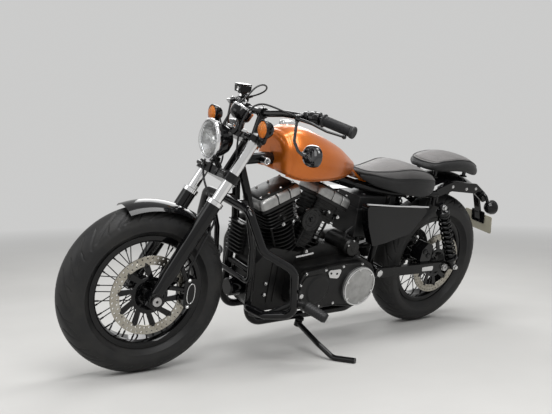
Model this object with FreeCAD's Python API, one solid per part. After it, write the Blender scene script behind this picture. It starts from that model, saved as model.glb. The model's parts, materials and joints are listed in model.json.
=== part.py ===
import FreeCAD, Part
import math
import os

# A low cruiser motorcycle with wire wheels, parked on its side stand.
# Millimetres. While it is modelled it stands upright: X forward, Y to its left, Z up,
# with the floor point under the rear axle at the origin. The last section steers the
# front end, leans the machine on its stand and moves the origin to its base.

# Stance
WHEELBASE = 1510.0
RAKE = 30.2
TRAIL = 134.0
STEER_AT_REST = -7.4
LEAN_AT_REST = 15.3

# Wheels and tyres
FRONT_TYRE_RADIUS = 320.0
FRONT_TYRE_WIDTH = 130.0
REAR_TYRE_RADIUS = 323.0
REAR_TYRE_WIDTH = 150.0
TREAD_THICKNESS = 10.0
SHOULDER_DROP = 35.0
RIM_RADIUS = 217.0
RIM_FLANGE = 14.0
RIM_WIDTH = 90.0
RIM_WALL = 5.0
SPOKE_COUNT = 40
SPOKE_THICKNESS = 4.4
SPOKE_SIDES = 6
HUB_BARREL_RADIUS = 27.0
HUB_FLANGE_RADIUS = 44.0
HUB_FLANGE_THICKNESS = 6.0
FRONT_HUB_HALF_WIDTH = 50.0
REAR_HUB_HALF_WIDTH = 58.0
AXLE_RADIUS = 10.0
AXLE_BORE_RADIUS = 5.0
RUNNING_FIT = 0.4
SEAT_GAP = 0.3

# Brakes and belt
FRONT_DISC_RADIUS = 149.0
REAR_DISC_RADIUS = 146.0
DISC_THICKNESS = 5.0
DISC_BAND = 34.0
DISC_CARRIER_THICKNESS = 6.0
FRONT_DISC_Y = 68.0
REAR_DISC_Y = 84.0
CALIPER_SLOT = 16.0
REAR_PULLEY_RADIUS = 112.0
FRONT_PULLEY_RADIUS = 42.0
PULLEY_Y = -93.0
BELT_WIDTH = 24.0
BELT_THICKNESS = 5.0
FRONT_PULLEY_X = 600.0
FRONT_PULLEY_Z = 300.0

# Fork. Heights on it are measured up the steering line from the front axle.
FORK_HALF_SPREAD = 105.0
FORK_TUBE_RADIUS = 20.5
SLIDER_RADIUS = 28.0
SLIDER_TOP = 396.0
SLIDER_FOOT = -32.0
SLIDER_SOCKET = 40.0
COLLAR_HEIGHT = 16.0
LOWER_CLAMP_HEIGHT = 511.0
LOWER_CLAMP_THICKNESS = 34.0
UPPER_CLAMP_HEIGHT = 675.0
UPPER_CLAMP_THICKNESS = 24.0
FORK_TUBE_TOP = 693.0
CLAMP_RING_RADIUS = 32.0
STEM_RADIUS = 13.0
NECK_RADIUS = 30.0
HANDLEBAR_RADIUS = 12.7
RISER_Y = 64.0
GRIP_RADIUS = 19.0
HEADLAMP_RADIUS = 76.0
HEADLAMP_LENGTH = 118.0

# Frame
FRAME_TUBE_RADIUS = 16.0
BACKBONE_RADIUS = 22.0
TANK_TUNNEL_GAP = 4.0
FRAME_RAIL_Y = 92.0
FRAME_RAIL_Z = 168.0
CRADLE_FRONT_X = 1084.0
REAR_UPRIGHT_Y = 56.0
SEAT_RAIL_Y = 104.0
SEAT_RAIL_Z = 676.0
PIVOT_X = 425.0
PIVOT_Z = 330.0
SWINGARM_Y = 124.0
SWINGARM_THICKNESS = 20.0
SWINGARM_DEPTH = 44.0
SHOCK_Y = 154.0
SHOCK_RADIUS = 30.0
GUARD_TUBE_RADIUS = 16.0
GUARD_INNER_RADIUS = 11.0

# Engine
CRANK_X = 857.0
CRANK_Z = 330.0
CYLINDER_ANGLE = 22.5
CYLINDER_BASE = 118.0
CYLINDER_TOP = 336.0
ROCKER_TOP = 398.0
ROCKER_FRONT = 91.0
ROCKER_REAR = 112.0
ROCKER_HALF_WIDTH = 74.0
ROCKER_ROUNDING = 22.0
ROCKER_SEAMS = (8.0, -50.0)
CYLINDER_RADIUS = 50.0
FIN_RADIUS = 71.0
FIN_COUNT = 12
FIN_THICKNESS = 3.0
REGULATOR_FINS = 9
CASE_HALF_WIDTH = 68.0
PRIMARY_Y = 150.0
GEARCASE_Y = -116.0
DERBY_X = 566.0
DERBY_Z = 296.0
DERBY_RADIUS = 87.0
DERBY_THICKNESS = 17.0
PRIMARY_DOME_RADIUS = 66.0
PRIMARY_DOME_HEIGHT = 8.0

# Cables and hoses
CABLE_RADIUS = 3.5
HOSE_RADIUS = 4.0
OUTLET_RADIUS = 6.0
CORD_ARC_SHARE = 0.45

# Rear fender and shell thickness
REAR_FENDER_RADIUS = 428.0
REAR_FENDER_HALF_WIDTH = 84.0
FRONT_FENDER_RADIUS = 336.0
FRONT_FENDER_HALF_WIDTH = 72.0
FENDER_DROP = 22.0
FENDER_THICKNESS = 3.0

# Stand
STAND_PIVOT = (828.0, 112.0, 140.0)
STAND_RADIUS = 11.0
STAND_PIN_RADIUS = 8.0
STAND_EYE_RADIUS = 16.0
STAND_AXIS = (-0.1, 0.058, 0.99)
STAND_FOLD = 80.0
STAND_KNEE = (855.0, 280.0, 128.0)
STAND_FOOT_START = (842.0, 378.0)
STAND_FOOT_END = (806.0, 465.0)


def vec(x, y, z):
    return FreeCAD.Vector(x, y, z)


X_AXIS = vec(1, 0, 0)
Y_AXIS = vec(0, 1, 0)
Z_AXIS = vec(0, 0, 1)
FRONT_AXLE = vec(WHEELBASE, 0, FRONT_TYRE_RADIUS)
REAR_AXLE = vec(0, 0, REAR_TYRE_RADIUS)
STEER_FOOT = vec(WHEELBASE + TRAIL, 0, 0)
STEER_UP = vec(-math.sin(math.radians(RAKE)), 0, math.cos(math.radians(RAKE)))
STEER_AHEAD = vec(math.cos(math.radians(RAKE)), 0, math.sin(math.radians(RAKE)))
FORK_OFFSET = (FRONT_AXLE - STEER_FOOT).dot(STEER_AHEAD)


# Shape helpers

def corner_edges(points, bend, closed, share=0.47):
    """Straight runs through the points, joined by arcs that take at most a share of the shorter run."""
    marks = []
    count = len(points)
    for index, here in enumerate(points):
        at_end = not closed and index in (0, count - 1)
        if at_end or bend == 0:
            marks.append([here, here])
            continue
        back = points[index - 1] - here
        ahead = points[(index + 1) % count] - here
        half = back.getAngle(ahead) / 2
        reach = min(bend / math.tan(half), share * min(back.Length, ahead.Length))
        radius = reach * math.tan(half)
        back.normalize()
        ahead.normalize()
        inward = back + ahead
        inward.normalize()
        middle = here + inward * (reach / math.cos(half) - radius)
        marks.append([here + back * reach, middle, here + ahead * reach])
    edges = []
    for index, mark in enumerate(marks):
        if len(mark) == 3:
            edges.append(Part.Arc(*mark).toShape())
        if index < count - 1 or closed:
            following = marks[(index + 1) % count][0]
            if mark[-1].distanceToPoint(following) > 1e-6:
                edges.append(Part.LineSegment(mark[-1], following).toShape())
    return edges


def bent_tube(points, radius, bend):
    """A round bar along straight runs with rounded corners."""
    path = Part.Wire(Part.__sortEdges__(corner_edges(points, bend, False)))
    circle = Part.Wire(Part.makeCircle(radius, points[0], points[1] - points[0]))
    return path.makePipeShell([circle], True, False)


def cord(name, route, radius):
    """A cable or hose along its route, with an arc at each point as large as the runs beside it allow."""
    radii = []
    for back, here, ahead in zip(route, route[1:], route[2:]):
        runs = [here - back, ahead - here]
        turn = runs[0].getAngle(runs[1])
        radii.append(CORD_ARC_SHARE * min(run.Length for run in runs) / math.tan(turn / 2))
    edges = corner_edges(route, max(radii) + 1, False, CORD_ARC_SHARE)
    path = Part.Wire(Part.__sortEdges__(edges))
    circle = Part.Wire(Part.makeCircle(radius, route[0], route[1] - route[0]))
    tube = path.makePipeShell([circle], True, False)
    expected = math.pi * radius ** 2 * path.Length
    print(name, "arc radii", [round(r) for r in radii], "length", round(path.Length, 1),
          "volume share", round(tube.Volume / expected, 4))
    return tube


def rod(start, end, radius):
    """A round bar between two points."""
    return Part.makeCylinder(radius, (end - start).Length, start, end - start)


def lathe(outline, centre, axis, bend=0, radial=None):
    """An outline of (along, radius) pairs turned about an axis through centre."""
    along = FreeCAD.Vector(axis).normalize()
    if radial is None:
        radial = along.cross(X_AXIS if abs(along.x) < 0.9 else Z_AXIS).normalize()
    points = [centre + along * s + radial * r for s, r in outline]
    wire = Part.Wire(corner_edges(points, bend, True))
    return Part.Face(wire).revolve(centre, along, 360)


def slab(outline, y_low, y_high, bend=0):
    """An outline of (x, z) pairs drawn out along Y."""
    points = [vec(x, y_low, z) for x, z in outline]
    face = Part.Face(Part.Wire(corner_edges(points, bend, True)))
    return face.extrude(vec(0, y_high - y_low, 0))


def block(low, high):
    """A box between two corners."""
    size = [b - a for a, b in zip(low, high)]
    return Part.makeBox(size[0], size[1], size[2], vec(*low))


def closed_curve(points):
    """A smooth closed curve through the points."""
    curve = Part.BSplineCurve()
    curve.interpolate(points, PeriodicFlag=True)
    return Part.Wire(curve.toShape())


def mirrored(shape):
    """The same piece on the other side of the machine."""
    return shape.mirror(vec(0, 0, 0), Y_AXIS)


def mirrored_point(point):
    """The same point on the other side of the machine."""
    return vec(point.x, -point.y, point.z)


def pair(shape):
    """A piece and its mirror image, as two solids."""
    return Part.makeCompound([shape, mirrored(shape)])


def fused(shapes):
    """The shapes joined to one solid."""
    return shapes[0].multiFuse(shapes[1:]).removeSplitter()


def on_fork(up, ahead=0.0, y=0.0):
    """A point given by its height up the fork legs, its distance ahead and its side."""
    return FRONT_AXLE + STEER_UP * up + STEER_AHEAD * ahead + vec(0, y, 0)


def by_upper_clamp(x, y, z):
    """A point given from the middle of the upper fork clamp."""
    return on_fork(UPPER_CLAMP_HEIGHT) + vec(x, y, z)


def by_lower_clamp(x, y, z):
    """A point given from the middle of the lower fork clamp."""
    return on_fork(LOWER_CLAMP_HEIGHT) + vec(x, y, z)


# Wheels

def tyre_outline(radius, width):
    """The section of a tyre at the top of the wheel, as edges in the Y-Z plane."""
    bead = RIM_WIDTH / 2 - RIM_WALL - SEAT_GAP
    seat = RIM_RADIUS - RIM_FLANGE + SEAT_GAP
    edge = radius - SHOULDER_DROP
    outer = [(bead, seat), (bead, RIM_RADIUS + 2), (width / 2, edge - 23), (0.45 * width, edge)]
    skin = TREAD_THICKNESS
    inner = [(bead - 12, seat), (bead - 12, RIM_RADIUS - 2), (width / 2 - skin, edge - 23),
             (0.45 * width - skin, edge - 6)]

    def at(y, r):
        return vec(0, y, r)

    def side_arc(side, widest, end):
        """An arc that stands upright at the widest point and ends at another."""
        inset = widest[0] - end[0]
        rise = end[1] - widest[1]
        bend = (inset ** 2 + rise ** 2) / (2 * inset)
        angle = math.asin(rise / bend) / 2
        middle = (widest[0] - bend * (1 - math.cos(angle)), widest[1] + bend * math.sin(angle))
        points = [at(side * y, r) for y, r in (widest, middle, end)]
        return Part.Arc(*points).toShape()

    edges = []
    for chain, crown in ((outer, radius), (inner, radius - skin)):
        ends = [at(side * chain[3][0], chain[3][1]) for side in (-1, 1)]
        edges.append(Part.Arc(ends[0], at(0, crown), ends[1]).toShape())
        for side in (-1, 1):
            seat_edge = [at(side * y, r) for y, r in chain[:2]]
            edges.append(Part.LineSegment(*seat_edge).toShape())
            edges.append(side_arc(side, chain[2], chain[1]))
            edges.append(side_arc(side, chain[2], chain[3]))
    for side in (-1, 1):
        edges.append(Part.LineSegment(at(side * bead, seat), at(side * (bead - 12), seat)).toShape())
    return Part.Wire(Part.__sortEdges__(edges))


def tyre(radius, width, axle):
    ring = Part.Face(tyre_outline(radius, width)).revolve(vec(0, 0, 0), Y_AXIS, 360)
    ring.translate(axle)
    return ring


def crown_radius(width):
    """The radius of the tread across the tyre."""
    shoulder = 0.9 * width / 2
    return (shoulder ** 2 + SHOULDER_DROP ** 2) / (2 * SHOULDER_DROP)


def wheel(axle, hub_half_width):
    """Rim, laced spokes and hub, in one piece."""
    half = RIM_WIDTH / 2
    seat = RIM_RADIUS - RIM_FLANGE
    well = seat - 10
    rim = lathe([(-half, RIM_RADIUS), (-half, seat - 4), (-half + 22, well - RIM_WALL),
                 (half - 22, well - RIM_WALL), (half, seat - 4), (half, RIM_RADIUS),
                 (half - RIM_WALL, RIM_RADIUS), (half - RIM_WALL, seat), (half - 24, seat),
                 (half - 30, well), (-half + 30, well), (-half + 24, seat),
                 (-half + RIM_WALL, seat), (-half + RIM_WALL, RIM_RADIUS)], axle, Y_AXIS)
    flange_y = hub_half_width - 16
    bore = AXLE_RADIUS + RUNNING_FIT
    hub = lathe([(-hub_half_width, bore), (-hub_half_width, 26), (-flange_y - HUB_FLANGE_THICKNESS, 30),
                 (-flange_y - HUB_FLANGE_THICKNESS, HUB_FLANGE_RADIUS), (-flange_y, HUB_FLANGE_RADIUS),
                 (-flange_y + 4, HUB_BARREL_RADIUS), (flange_y - 4, HUB_BARREL_RADIUS),
                 (flange_y, HUB_FLANGE_RADIUS), (flange_y + HUB_FLANGE_THICKNESS, HUB_FLANGE_RADIUS),
                 (flange_y + HUB_FLANGE_THICKNESS, 30), (hub_half_width, 26), (hub_half_width, bore)],
                axle, Y_AXIS)
    pieces = [rim, hub]
    for index in range(SPOKE_COUNT):
        side = 1 if index % 2 else -1
        cross = 38 if (index // 2) % 2 else -38
        rim_angle = math.radians(360.0 * index / SPOKE_COUNT)
        hub_angle = rim_angle + math.radians(cross)
        inner = HUB_FLANGE_RADIUS - 7
        outer = well - RIM_WALL + 2
        start = axle + vec(inner * math.sin(hub_angle), side * (flange_y + 3), inner * math.cos(hub_angle))
        end = axle + vec(outer * math.sin(rim_angle), side * 9, outer * math.cos(rim_angle))
        pieces.append(spoke(start, end))
    return fused(pieces)


def spoke(start, end):
    """A slim straight bar with flat sides."""
    along = (end - start).normalize()
    across = along.cross(Y_AXIS).normalize()
    other = along.cross(across)
    corners = []
    for index in range(SPOKE_SIDES):
        angle = 2 * math.pi * index / SPOKE_SIDES
        offset = across * math.cos(angle) + other * math.sin(angle)
        corners.append(start + offset * (SPOKE_THICKNESS / 2))
    face = Part.Face(Part.makePolygon(corners + corners[:1]))
    return face.extrude(end - start)


def disc(axle, y, hub_face, radius):
    """A brake disc: the band, and the dished carrier that bolts to the hub."""
    band_inner = radius - DISC_BAND
    band = lathe([(y - DISC_THICKNESS / 2, band_inner), (y - DISC_THICKNESS / 2, radius),
                  (y + DISC_THICKNESS / 2, radius), (y + DISC_THICKNESS / 2, band_inner)], axle, Y_AXIS)
    low = hub_face + SEAT_GAP
    thick = DISC_CARRIER_THICKNESS
    top = y + DISC_THICKNESS / 2 - 1
    carrier = lathe([(low, 24), (low, 44), (top - thick, 62), (top - thick, band_inner + 4),
                     (top, band_inner + 4), (top, 58), (low + thick, 40), (low + thick, 24)], axle, Y_AXIS)
    holes = []
    for index in range(5):
        angle = 2 * math.pi * index / 5
        centre = axle + vec(86 * math.sin(angle), 0, 86 * math.cos(angle))
        holes.append(rod(centre + vec(0, low - 5, 0), centre + vec(0, top + 5, 0), 17))
    return fused([band, carrier.cut(Part.makeCompound(holes))])


def disc_room(axle, y, radius):
    """The slot that a disc needs in its caliper."""
    foot = axle + vec(0, y - CALIPER_SLOT / 2, 0)
    return Part.makeCylinder(radius + 6, CALIPER_SLOT, foot, Y_AXIS)


def rear_pulley():
    """The toothed belt wheel on the right of the rear hub."""
    half = BELT_WIDTH / 2 + 1
    rim = lathe([(PULLEY_Y - half, 92), (PULLEY_Y - half, REAR_PULLEY_RADIUS),
                 (PULLEY_Y + half, REAR_PULLEY_RADIUS), (PULLEY_Y + half, 92)], REAR_AXLE, Y_AXIS)
    inner = -REAR_HUB_HALF_WIDTH - SEAT_GAP
    web = lathe([(PULLEY_Y - 4, 96), (PULLEY_Y - 4, 40), (inner - 8, 34), (inner - 8, 24), (inner, 24),
                 (inner, 40), (PULLEY_Y + 4, 46), (PULLEY_Y + 4, 96)], REAR_AXLE, Y_AXIS)
    holes = []
    for index in range(5):
        angle = 2 * math.pi * (index + 0.5) / 5
        centre = REAR_AXLE + vec(70 * math.sin(angle), 0, 70 * math.cos(angle))
        holes.append(rod(centre + vec(0, PULLEY_Y - 20, 0), centre + vec(0, PULLEY_Y + 20, 0), 18))
    return fused([rim, web.cut(Part.makeCompound(holes))])


# Fork, steering and what turns with it

FRONT_AXLE_LENGTH = 2 * (FORK_HALF_SPREAD + SLIDER_RADIUS - 4 + SEAT_GAP + 12)
REAR_AXLE_LENGTH = 2 * (SWINGARM_Y + SWINGARM_THICKNESS / 2 + SEAT_GAP + 12)


def front_axle():
    leg = SLIDER_RADIUS - 4
    inner = FORK_HALF_SPREAD - leg - SEAT_GAP
    outer = FORK_HALF_SPREAD + leg + SEAT_GAP
    hub = FRONT_HUB_HALF_WIDTH + RUNNING_FIT
    spacer = AXLE_RADIUS + 6
    bore = AXLE_BORE_RADIUS
    half = [(hub, AXLE_RADIUS), (hub, spacer), (inner, spacer), (inner, AXLE_RADIUS),
            (outer, AXLE_RADIUS), (outer, 17), (outer + 12, 17), (outer + 12, bore)]
    left = [(-y, r) for y, r in reversed(half)]
    return lathe(left + half, FRONT_AXLE, Y_AXIS)


def sliders():
    foot = SLIDER_RADIUS - 4
    socket = FORK_TUBE_RADIUS + SEAT_GAP
    bottom = SLIDER_TOP - SLIDER_SOCKET
    centre = FRONT_AXLE + vec(0, FORK_HALF_SPREAD, 0)
    leg = lathe([(SLIDER_FOOT, 0), (SLIDER_FOOT, foot), (60, foot), (95, SLIDER_RADIUS),
                 (SLIDER_TOP, SLIDER_RADIUS), (SLIDER_TOP, socket), (bottom, socket), (bottom, 0)],
                centre, STEER_UP)
    hole = rod(FRONT_AXLE, FRONT_AXLE + vec(0, 2 * FORK_HALF_SPREAD, 0), AXLE_RADIUS + SEAT_GAP)
    return pair(leg.cut(hole))


def fork_tubes():
    """The chrome stanchions, each with the collar that covers the slider's mouth."""
    start = on_fork(SLIDER_TOP - SLIDER_SOCKET + SEAT_GAP, 0, FORK_HALF_SPREAD)
    end = on_fork(FORK_TUBE_TOP, 0, FORK_HALF_SPREAD)
    collar = rod(on_fork(SLIDER_TOP + SEAT_GAP, 0, FORK_HALF_SPREAD),
                 on_fork(SLIDER_TOP + SEAT_GAP + COLLAR_HEIGHT, 0, FORK_HALF_SPREAD), SLIDER_RADIUS + 3)
    return pair(fused([rod(start, end, FORK_TUBE_RADIUS), collar]))


def clamp(height, thickness, waist):
    """One fork clamp: a ring round each tube and the bridge between them."""
    low = height - thickness / 2
    rings = []
    for side in (-1, 1):
        centre = on_fork(low, 0, side * FORK_HALF_SPREAD)
        rings.append(Part.makeCylinder(CLAMP_RING_RADIUS, thickness, centre, STEER_UP))
    outline = [(-FORK_OFFSET - 30, -waist), (-FORK_OFFSET - 30, waist), (-26, FORK_HALF_SPREAD - 6),
               (26, FORK_HALF_SPREAD - 6), (14, 0), (26, -FORK_HALF_SPREAD + 6),
               (-26, -FORK_HALF_SPREAD + 6)]
    points = [on_fork(low, ahead, y) for ahead, y in outline]
    bridge = Part.Face(Part.Wire(corner_edges(points, 8, True))).extrude(STEER_UP * thickness)
    return fused([bridge] + rings)


def triple_clamps():
    """Both fork clamps with the steering stem that joins them."""
    lower = clamp(LOWER_CLAMP_HEIGHT, LOWER_CLAMP_THICKNESS, 34)
    upper = clamp(UPPER_CLAMP_HEIGHT, UPPER_CLAMP_THICKNESS, 30)
    stem = rod(on_fork(LOWER_CLAMP_HEIGHT, -FORK_OFFSET), on_fork(UPPER_CLAMP_HEIGHT, -FORK_OFFSET),
               STEM_RADIUS)
    nut = Part.makeCylinder(18, 12, on_fork(UPPER_CLAMP_HEIGHT + UPPER_CLAMP_THICKNESS / 2 - 1,
                                            -FORK_OFFSET), STEER_UP)
    bores = []
    for side in (-1, 1):
        bores.append(rod(on_fork(300, 0, side * FORK_HALF_SPREAD), on_fork(800, 0, side * FORK_HALF_SPREAD),
                         FORK_TUBE_RADIUS + SEAT_GAP))
    return fused([lower, upper, stem, nut]).cut(Part.makeCompound(bores))


BAR_CENTRE = by_upper_clamp(-42.5, 0, 96.6)
BAR_BEND = BAR_CENTRE + vec(0, 84, 0)
BAR_RISE = BAR_CENTRE + vec(-36, 150, 12)
GRIP_START = BAR_CENTRE + vec(-107, 290, 15)
GRIP_END = BAR_CENTRE + vec(-168, 403, -10)


def handlebar():
    """The bar with the two risers and caps that hold it on the upper clamp."""
    left = [BAR_BEND, BAR_RISE, GRIP_START, GRIP_END]
    right = [vec(p.x, -p.y, p.z) for p in reversed(left)]
    bar = bent_tube(right + left, HANDLEBAR_RADIUS, 60)
    top = UPPER_CLAMP_HEIGHT + UPPER_CLAMP_THICKNESS / 2
    centre = BAR_CENTRE - FRONT_AXLE
    posts = []
    for side in (-1, 1):
        foot = on_fork(top + SEAT_GAP, -14, side * RISER_Y)
        head = on_fork(centre.dot(STEER_UP), centre.dot(STEER_AHEAD), side * RISER_Y)
        posts.append(rod(foot, head, 15))
        posts.append(Part.makeCylinder(20, 26, head - Y_AXIS * 13, Y_AXIS))
    room = clamp(UPPER_CLAMP_HEIGHT, UPPER_CLAMP_THICKNESS + 2 * SEAT_GAP, 30)
    return fused([bar] + posts).cut(room)


def grips():
    along = GRIP_END - GRIP_START
    length = along.Length
    bore = HANDLEBAR_RADIUS + SEAT_GAP
    grip = lathe([(8, bore), (8, GRIP_RADIUS + 5), (13, GRIP_RADIUS + 5), (16, GRIP_RADIUS - 1),
                  (length - 10, GRIP_RADIUS), (length - 5, GRIP_RADIUS + 3), (length + 4, GRIP_RADIUS + 2),
                  (length + 4, 0), (length + SEAT_GAP, 0), (length + SEAT_GAP, bore)], GRIP_START, along)
    return pair(grip)


SPEEDO_CENTRE = by_upper_clamp(15.5, 0, 78.6)
SPEEDO_RADIUS = 44.0


def speedometer():
    axis = vec(-0.55, 0, 0.84)
    can = lathe([(-22, 0), (-22, 22), (-8, SPEEDO_RADIUS), (26, SPEEDO_RADIUS), (26, SPEEDO_RADIUS - 4),
                 (22, SPEEDO_RADIUS - 5), (22, 0)], SPEEDO_CENTRE, axis)
    foot = on_fork(UPPER_CLAMP_HEIGHT + UPPER_CLAMP_THICKNESS / 2 + SEAT_GAP, 8)
    room = clamp(UPPER_CLAMP_HEIGHT, UPPER_CLAMP_THICKNESS + 2 * SEAT_GAP, 30)
    return fused([can, rod(foot, SPEEDO_CENTRE, 9)]).cut(room)


HEADLAMP_CENTRE = by_lower_clamp(27, 0, 123.4)


def headlamp_shell():
    front = 50.0
    r = HEADLAMP_RADIUS
    shell = lathe([(front - HEADLAMP_LENGTH, 0), (front - HEADLAMP_LENGTH + 6, 30),
                   (front - 78, 58), (front - 34, r - 4), (front - 16, r - 4), (front - 16, r),
                   (front, r), (front, r - 7), (front - 14, r - 7), (front - 24, 40), (front - 34, 0)],
                  HEADLAMP_CENTRE, X_AXIS)
    post_foot = on_fork(LOWER_CLAMP_HEIGHT + LOWER_CLAMP_THICKNESS / 2 + SEAT_GAP, 4)
    post = rod(post_foot, vec(HEADLAMP_CENTRE.x - 4, 0, HEADLAMP_CENTRE.z - 62), 12)
    room = clamp(LOWER_CLAMP_HEIGHT, LOWER_CLAMP_THICKNESS + 2 * SEAT_GAP, 34)
    return fused([shell, post]).cut(room)


def headlamp_lens():
    front = 50.0
    edge = HEADLAMP_RADIUS - 7 - SEAT_GAP
    return lathe([(front - 8, 0), (front - 14 + SEAT_GAP, edge), (front - 4, edge), (front + 5, 30),
                  (front + 7, 0)], HEADLAMP_CENTRE, X_AXIS)


FRONT_SIGNAL = by_upper_clamp(21.5, 200, 53.6)
SIGNAL_RADIUS = 34.0


def signal_body(centre, facing, stalk_points):
    """A round lamp housing on a stalk, open towards the way it faces."""
    shell = lathe([(-34, 0), (-34, 12), (-20, 27), (0, SIGNAL_RADIUS), (6, SIGNAL_RADIUS),
                   (6, SIGNAL_RADIUS - 4), (0, SIGNAL_RADIUS - 4), (0, 0)], centre, X_AXIS * facing)
    stalk = bent_tube(stalk_points + [centre - X_AXIS * (12 * facing)], 8, 20)
    return fused([shell, stalk])


def signal_lens(centre, facing):
    edge = SIGNAL_RADIUS - 4 - SEAT_GAP
    return lathe([(SEAT_GAP, 0), (SEAT_GAP, edge), (8, edge), (18, 22), (22, 0)], centre, X_AXIS * facing)


def front_signals():
    foot = on_fork(UPPER_CLAMP_HEIGHT, 0, FORK_HALF_SPREAD + CLAMP_RING_RADIUS + SEAT_GAP)
    return pair(signal_body(FRONT_SIGNAL, 1, [foot, foot + vec(0, 30, 0)]))


MIRROR_CENTRE = BAR_CENTRE + vec(-78, 300, -114)
MIRROR_HALF_WIDTH = 54.0
MIRROR_HALF_HEIGHT = 40.0


def mirrors():
    """Oval mirrors hung below the handlebar on curved stems."""
    depth = 24.0
    plane = Part.Ellipse(MIRROR_CENTRE + vec(-depth / 2, MIRROR_HALF_WIDTH, 0),
                         MIRROR_CENTRE + vec(-depth / 2, 0, MIRROR_HALF_HEIGHT),
                         MIRROR_CENTRE + vec(-depth / 2, 0, 0))
    head = Part.Face(Part.Wire(plane.toShape())).extrude(vec(depth, 0, 0))
    head = head.makeFillet(9, [edge for edge in head.Edges if edge.Closed])
    stem = bent_tube([MIRROR_CENTRE + vec(5, -20, 0), MIRROR_CENTRE + vec(32, -32, 4),
                      MIRROR_CENTRE + vec(50, -44, 44), MIRROR_CENTRE + vec(46, -50, 114)], 5.5, 20)
    control = fused(list(hand_control())[1:])
    return pair(fused([head, stem]).cut(control))


PERCH_CENTRE = GRIP_START + (BAR_RISE - GRIP_START).normalize() * 48
CABLE_OUTLET_START = PERCH_CENTRE + vec(39.8, -4.5, -1.3)
CABLE_OUTLET_RUN = vec(11.2, -38, 4)
CABLE_OUTLET_END = CABLE_OUTLET_START + CABLE_OUTLET_RUN * 0.6
THROTTLE_OUTLET_START = mirrored_point(GRIP_START + (BAR_RISE - GRIP_START).normalize() * 24)
THROTTLE_OUTLET_RUN = vec(-24.5, 13.2, 11.3)
THROTTLE_OUTLET_END = THROTTLE_OUTLET_START + THROTTLE_OUTLET_RUN * 1.33


def hand_control(extra=0.0):
    """Switch housing, lever perch, arm and lever beside the left grip. Extra thickens all but the lever."""
    along = (GRIP_END - GRIP_START).normalize()
    inward = (BAR_RISE - GRIP_START).normalize()
    bore = HANDLEBAR_RADIUS + SEAT_GAP
    housing = lathe([(4 - extra, bore), (4 - extra, 23 + extra), (44 + extra, 23 + extra), (44 + extra, bore)],
                    GRIP_START, inward)
    perch = lathe([(-extra, bore), (-extra, 19 + extra), (22 + extra, 19 + extra), (22 + extra, bore)],
                  PERCH_CENTRE, inward)
    arm = rod(PERCH_CENTRE + inward * 11 + vec(19, 0, 4), PERCH_CENTRE + inward * 8 + vec(52, 8, -6),
              10 + extra)
    arm = arm.fuse(rod(CABLE_OUTLET_START, CABLE_OUTLET_END, OUTLET_RADIUS + extra))
    lever = bent_tube([PERCH_CENTRE + inward * 8 + vec(48, 8, -6), GRIP_START + vec(56, 24, -12),
                       GRIP_START + along * 70 + vec(52, 8, -18), GRIP_START + along * 132 + vec(38, 6, -16)],
                      6, 30)
    return housing, perch, arm, lever


def hand_controls():
    """Both hand controls: switch housings, perches and levers, with the throttle's outlet on the right."""
    housing, perch, arm, lever = hand_control()
    handle = fused([perch, arm, lever])
    outlet = rod(THROTTLE_OUTLET_START, THROTTLE_OUTLET_END, OUTLET_RADIUS)
    bar_room = mirrored(rod(GRIP_START, BAR_RISE, HANDLEBAR_RADIUS + SEAT_GAP))
    throttle = fused([mirrored(housing), outlet.cut(bar_room)])
    return Part.makeCompound([housing, handle, throttle, mirrored(handle)])


def clutch_cable():
    """From the left lever down behind the headlamp to the lower clamp."""
    end = on_fork(LOWER_CLAMP_HEIGHT + LOWER_CLAMP_THICKNESS / 2, -22, 54)
    route = [CABLE_OUTLET_END, CABLE_OUTLET_END + CABLE_OUTLET_RUN, vec(1120, 128, 1030),
             vec(1140, 76, 1036), vec(1170, 60, 1022), vec(1199, 60, 985), vec(1214, 60, 940),
             vec(1216, 58, 892), vec(1214, 56, 846), end + STEER_UP * 35, end]
    return cord("clutch_cable", route, CABLE_RADIUS)


def throttle_cable():
    """From the right housing in a loop over the bar and down to the lower clamp."""
    end = on_fork(LOWER_CLAMP_HEIGHT + LOWER_CLAMP_THICKNESS / 2, -22, -54)
    route = [THROTTLE_OUTLET_END, THROTTLE_OUTLET_END + THROTTLE_OUTLET_RUN, vec(966, -206, 1060),
             vec(984, -170, 1078), vec(1018, -138, 1088), vec(1056, -108, 1086), vec(1092, -84, 1074),
             vec(1122, -66, 1050), vec(1158, -58, 1024), vec(1196, -62, 985), vec(1214, -60, 940),
             vec(1216, -56, 890), vec(1214, -56, 845), end + STEER_UP * 35, end]
    return cord("throttle_cable", route, CABLE_RADIUS)


def brake_hose():
    """From the right lever past the headlamp, across under the clamp and down to the front caliper."""
    start = mirrored_point(CABLE_OUTLET_END)
    top = FRONT_AXLE + vec(-138, 84, 63.6)
    route = [start, start + mirrored_point(CABLE_OUTLET_RUN), vec(1120, -132, 1030), vec(1146, -98, 1020),
             vec(1177, -88, 988), vec(1200, -86, 944), on_fork(640, 46, -84), on_fork(585, 42, -78),
             on_fork(535, 42, -66), on_fork(490, 36, -44), on_fork(450, 20, -4), on_fork(418, -4, 40),
             on_fork(392, -28, 76), on_fork(352, -44, 100), on_fork(300, -46, 108), on_fork(245, -46, 108),
             on_fork(196, -58, 102), top + vec(2.4, 0, 30), top]
    return cord("brake_hose", route, HOSE_RADIUS)


BRAKE_RESERVOIR = BAR_CENTRE + vec(-76, -244, 62)


def brake_reservoir():
    """The brake fluid box on a short neck above the right perch."""
    top = BRAKE_RESERVOIR
    box = block((top.x - 26, top.y - 28, top.z - 18), (top.x + 26, top.y + 28, top.z + 16))
    neck = rod(top - Z_AXIS * 40, top, 12)
    housing, perch, arm, lever = [mirrored(piece) for piece in hand_control(SEAT_GAP)]
    bar_room = mirrored(rod(GRIP_START, BAR_RISE, HANDLEBAR_RADIUS + SEAT_GAP))
    return fused([box, neck]).cut(Part.makeCompound([housing, perch, arm])).cut(bar_room)


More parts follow.
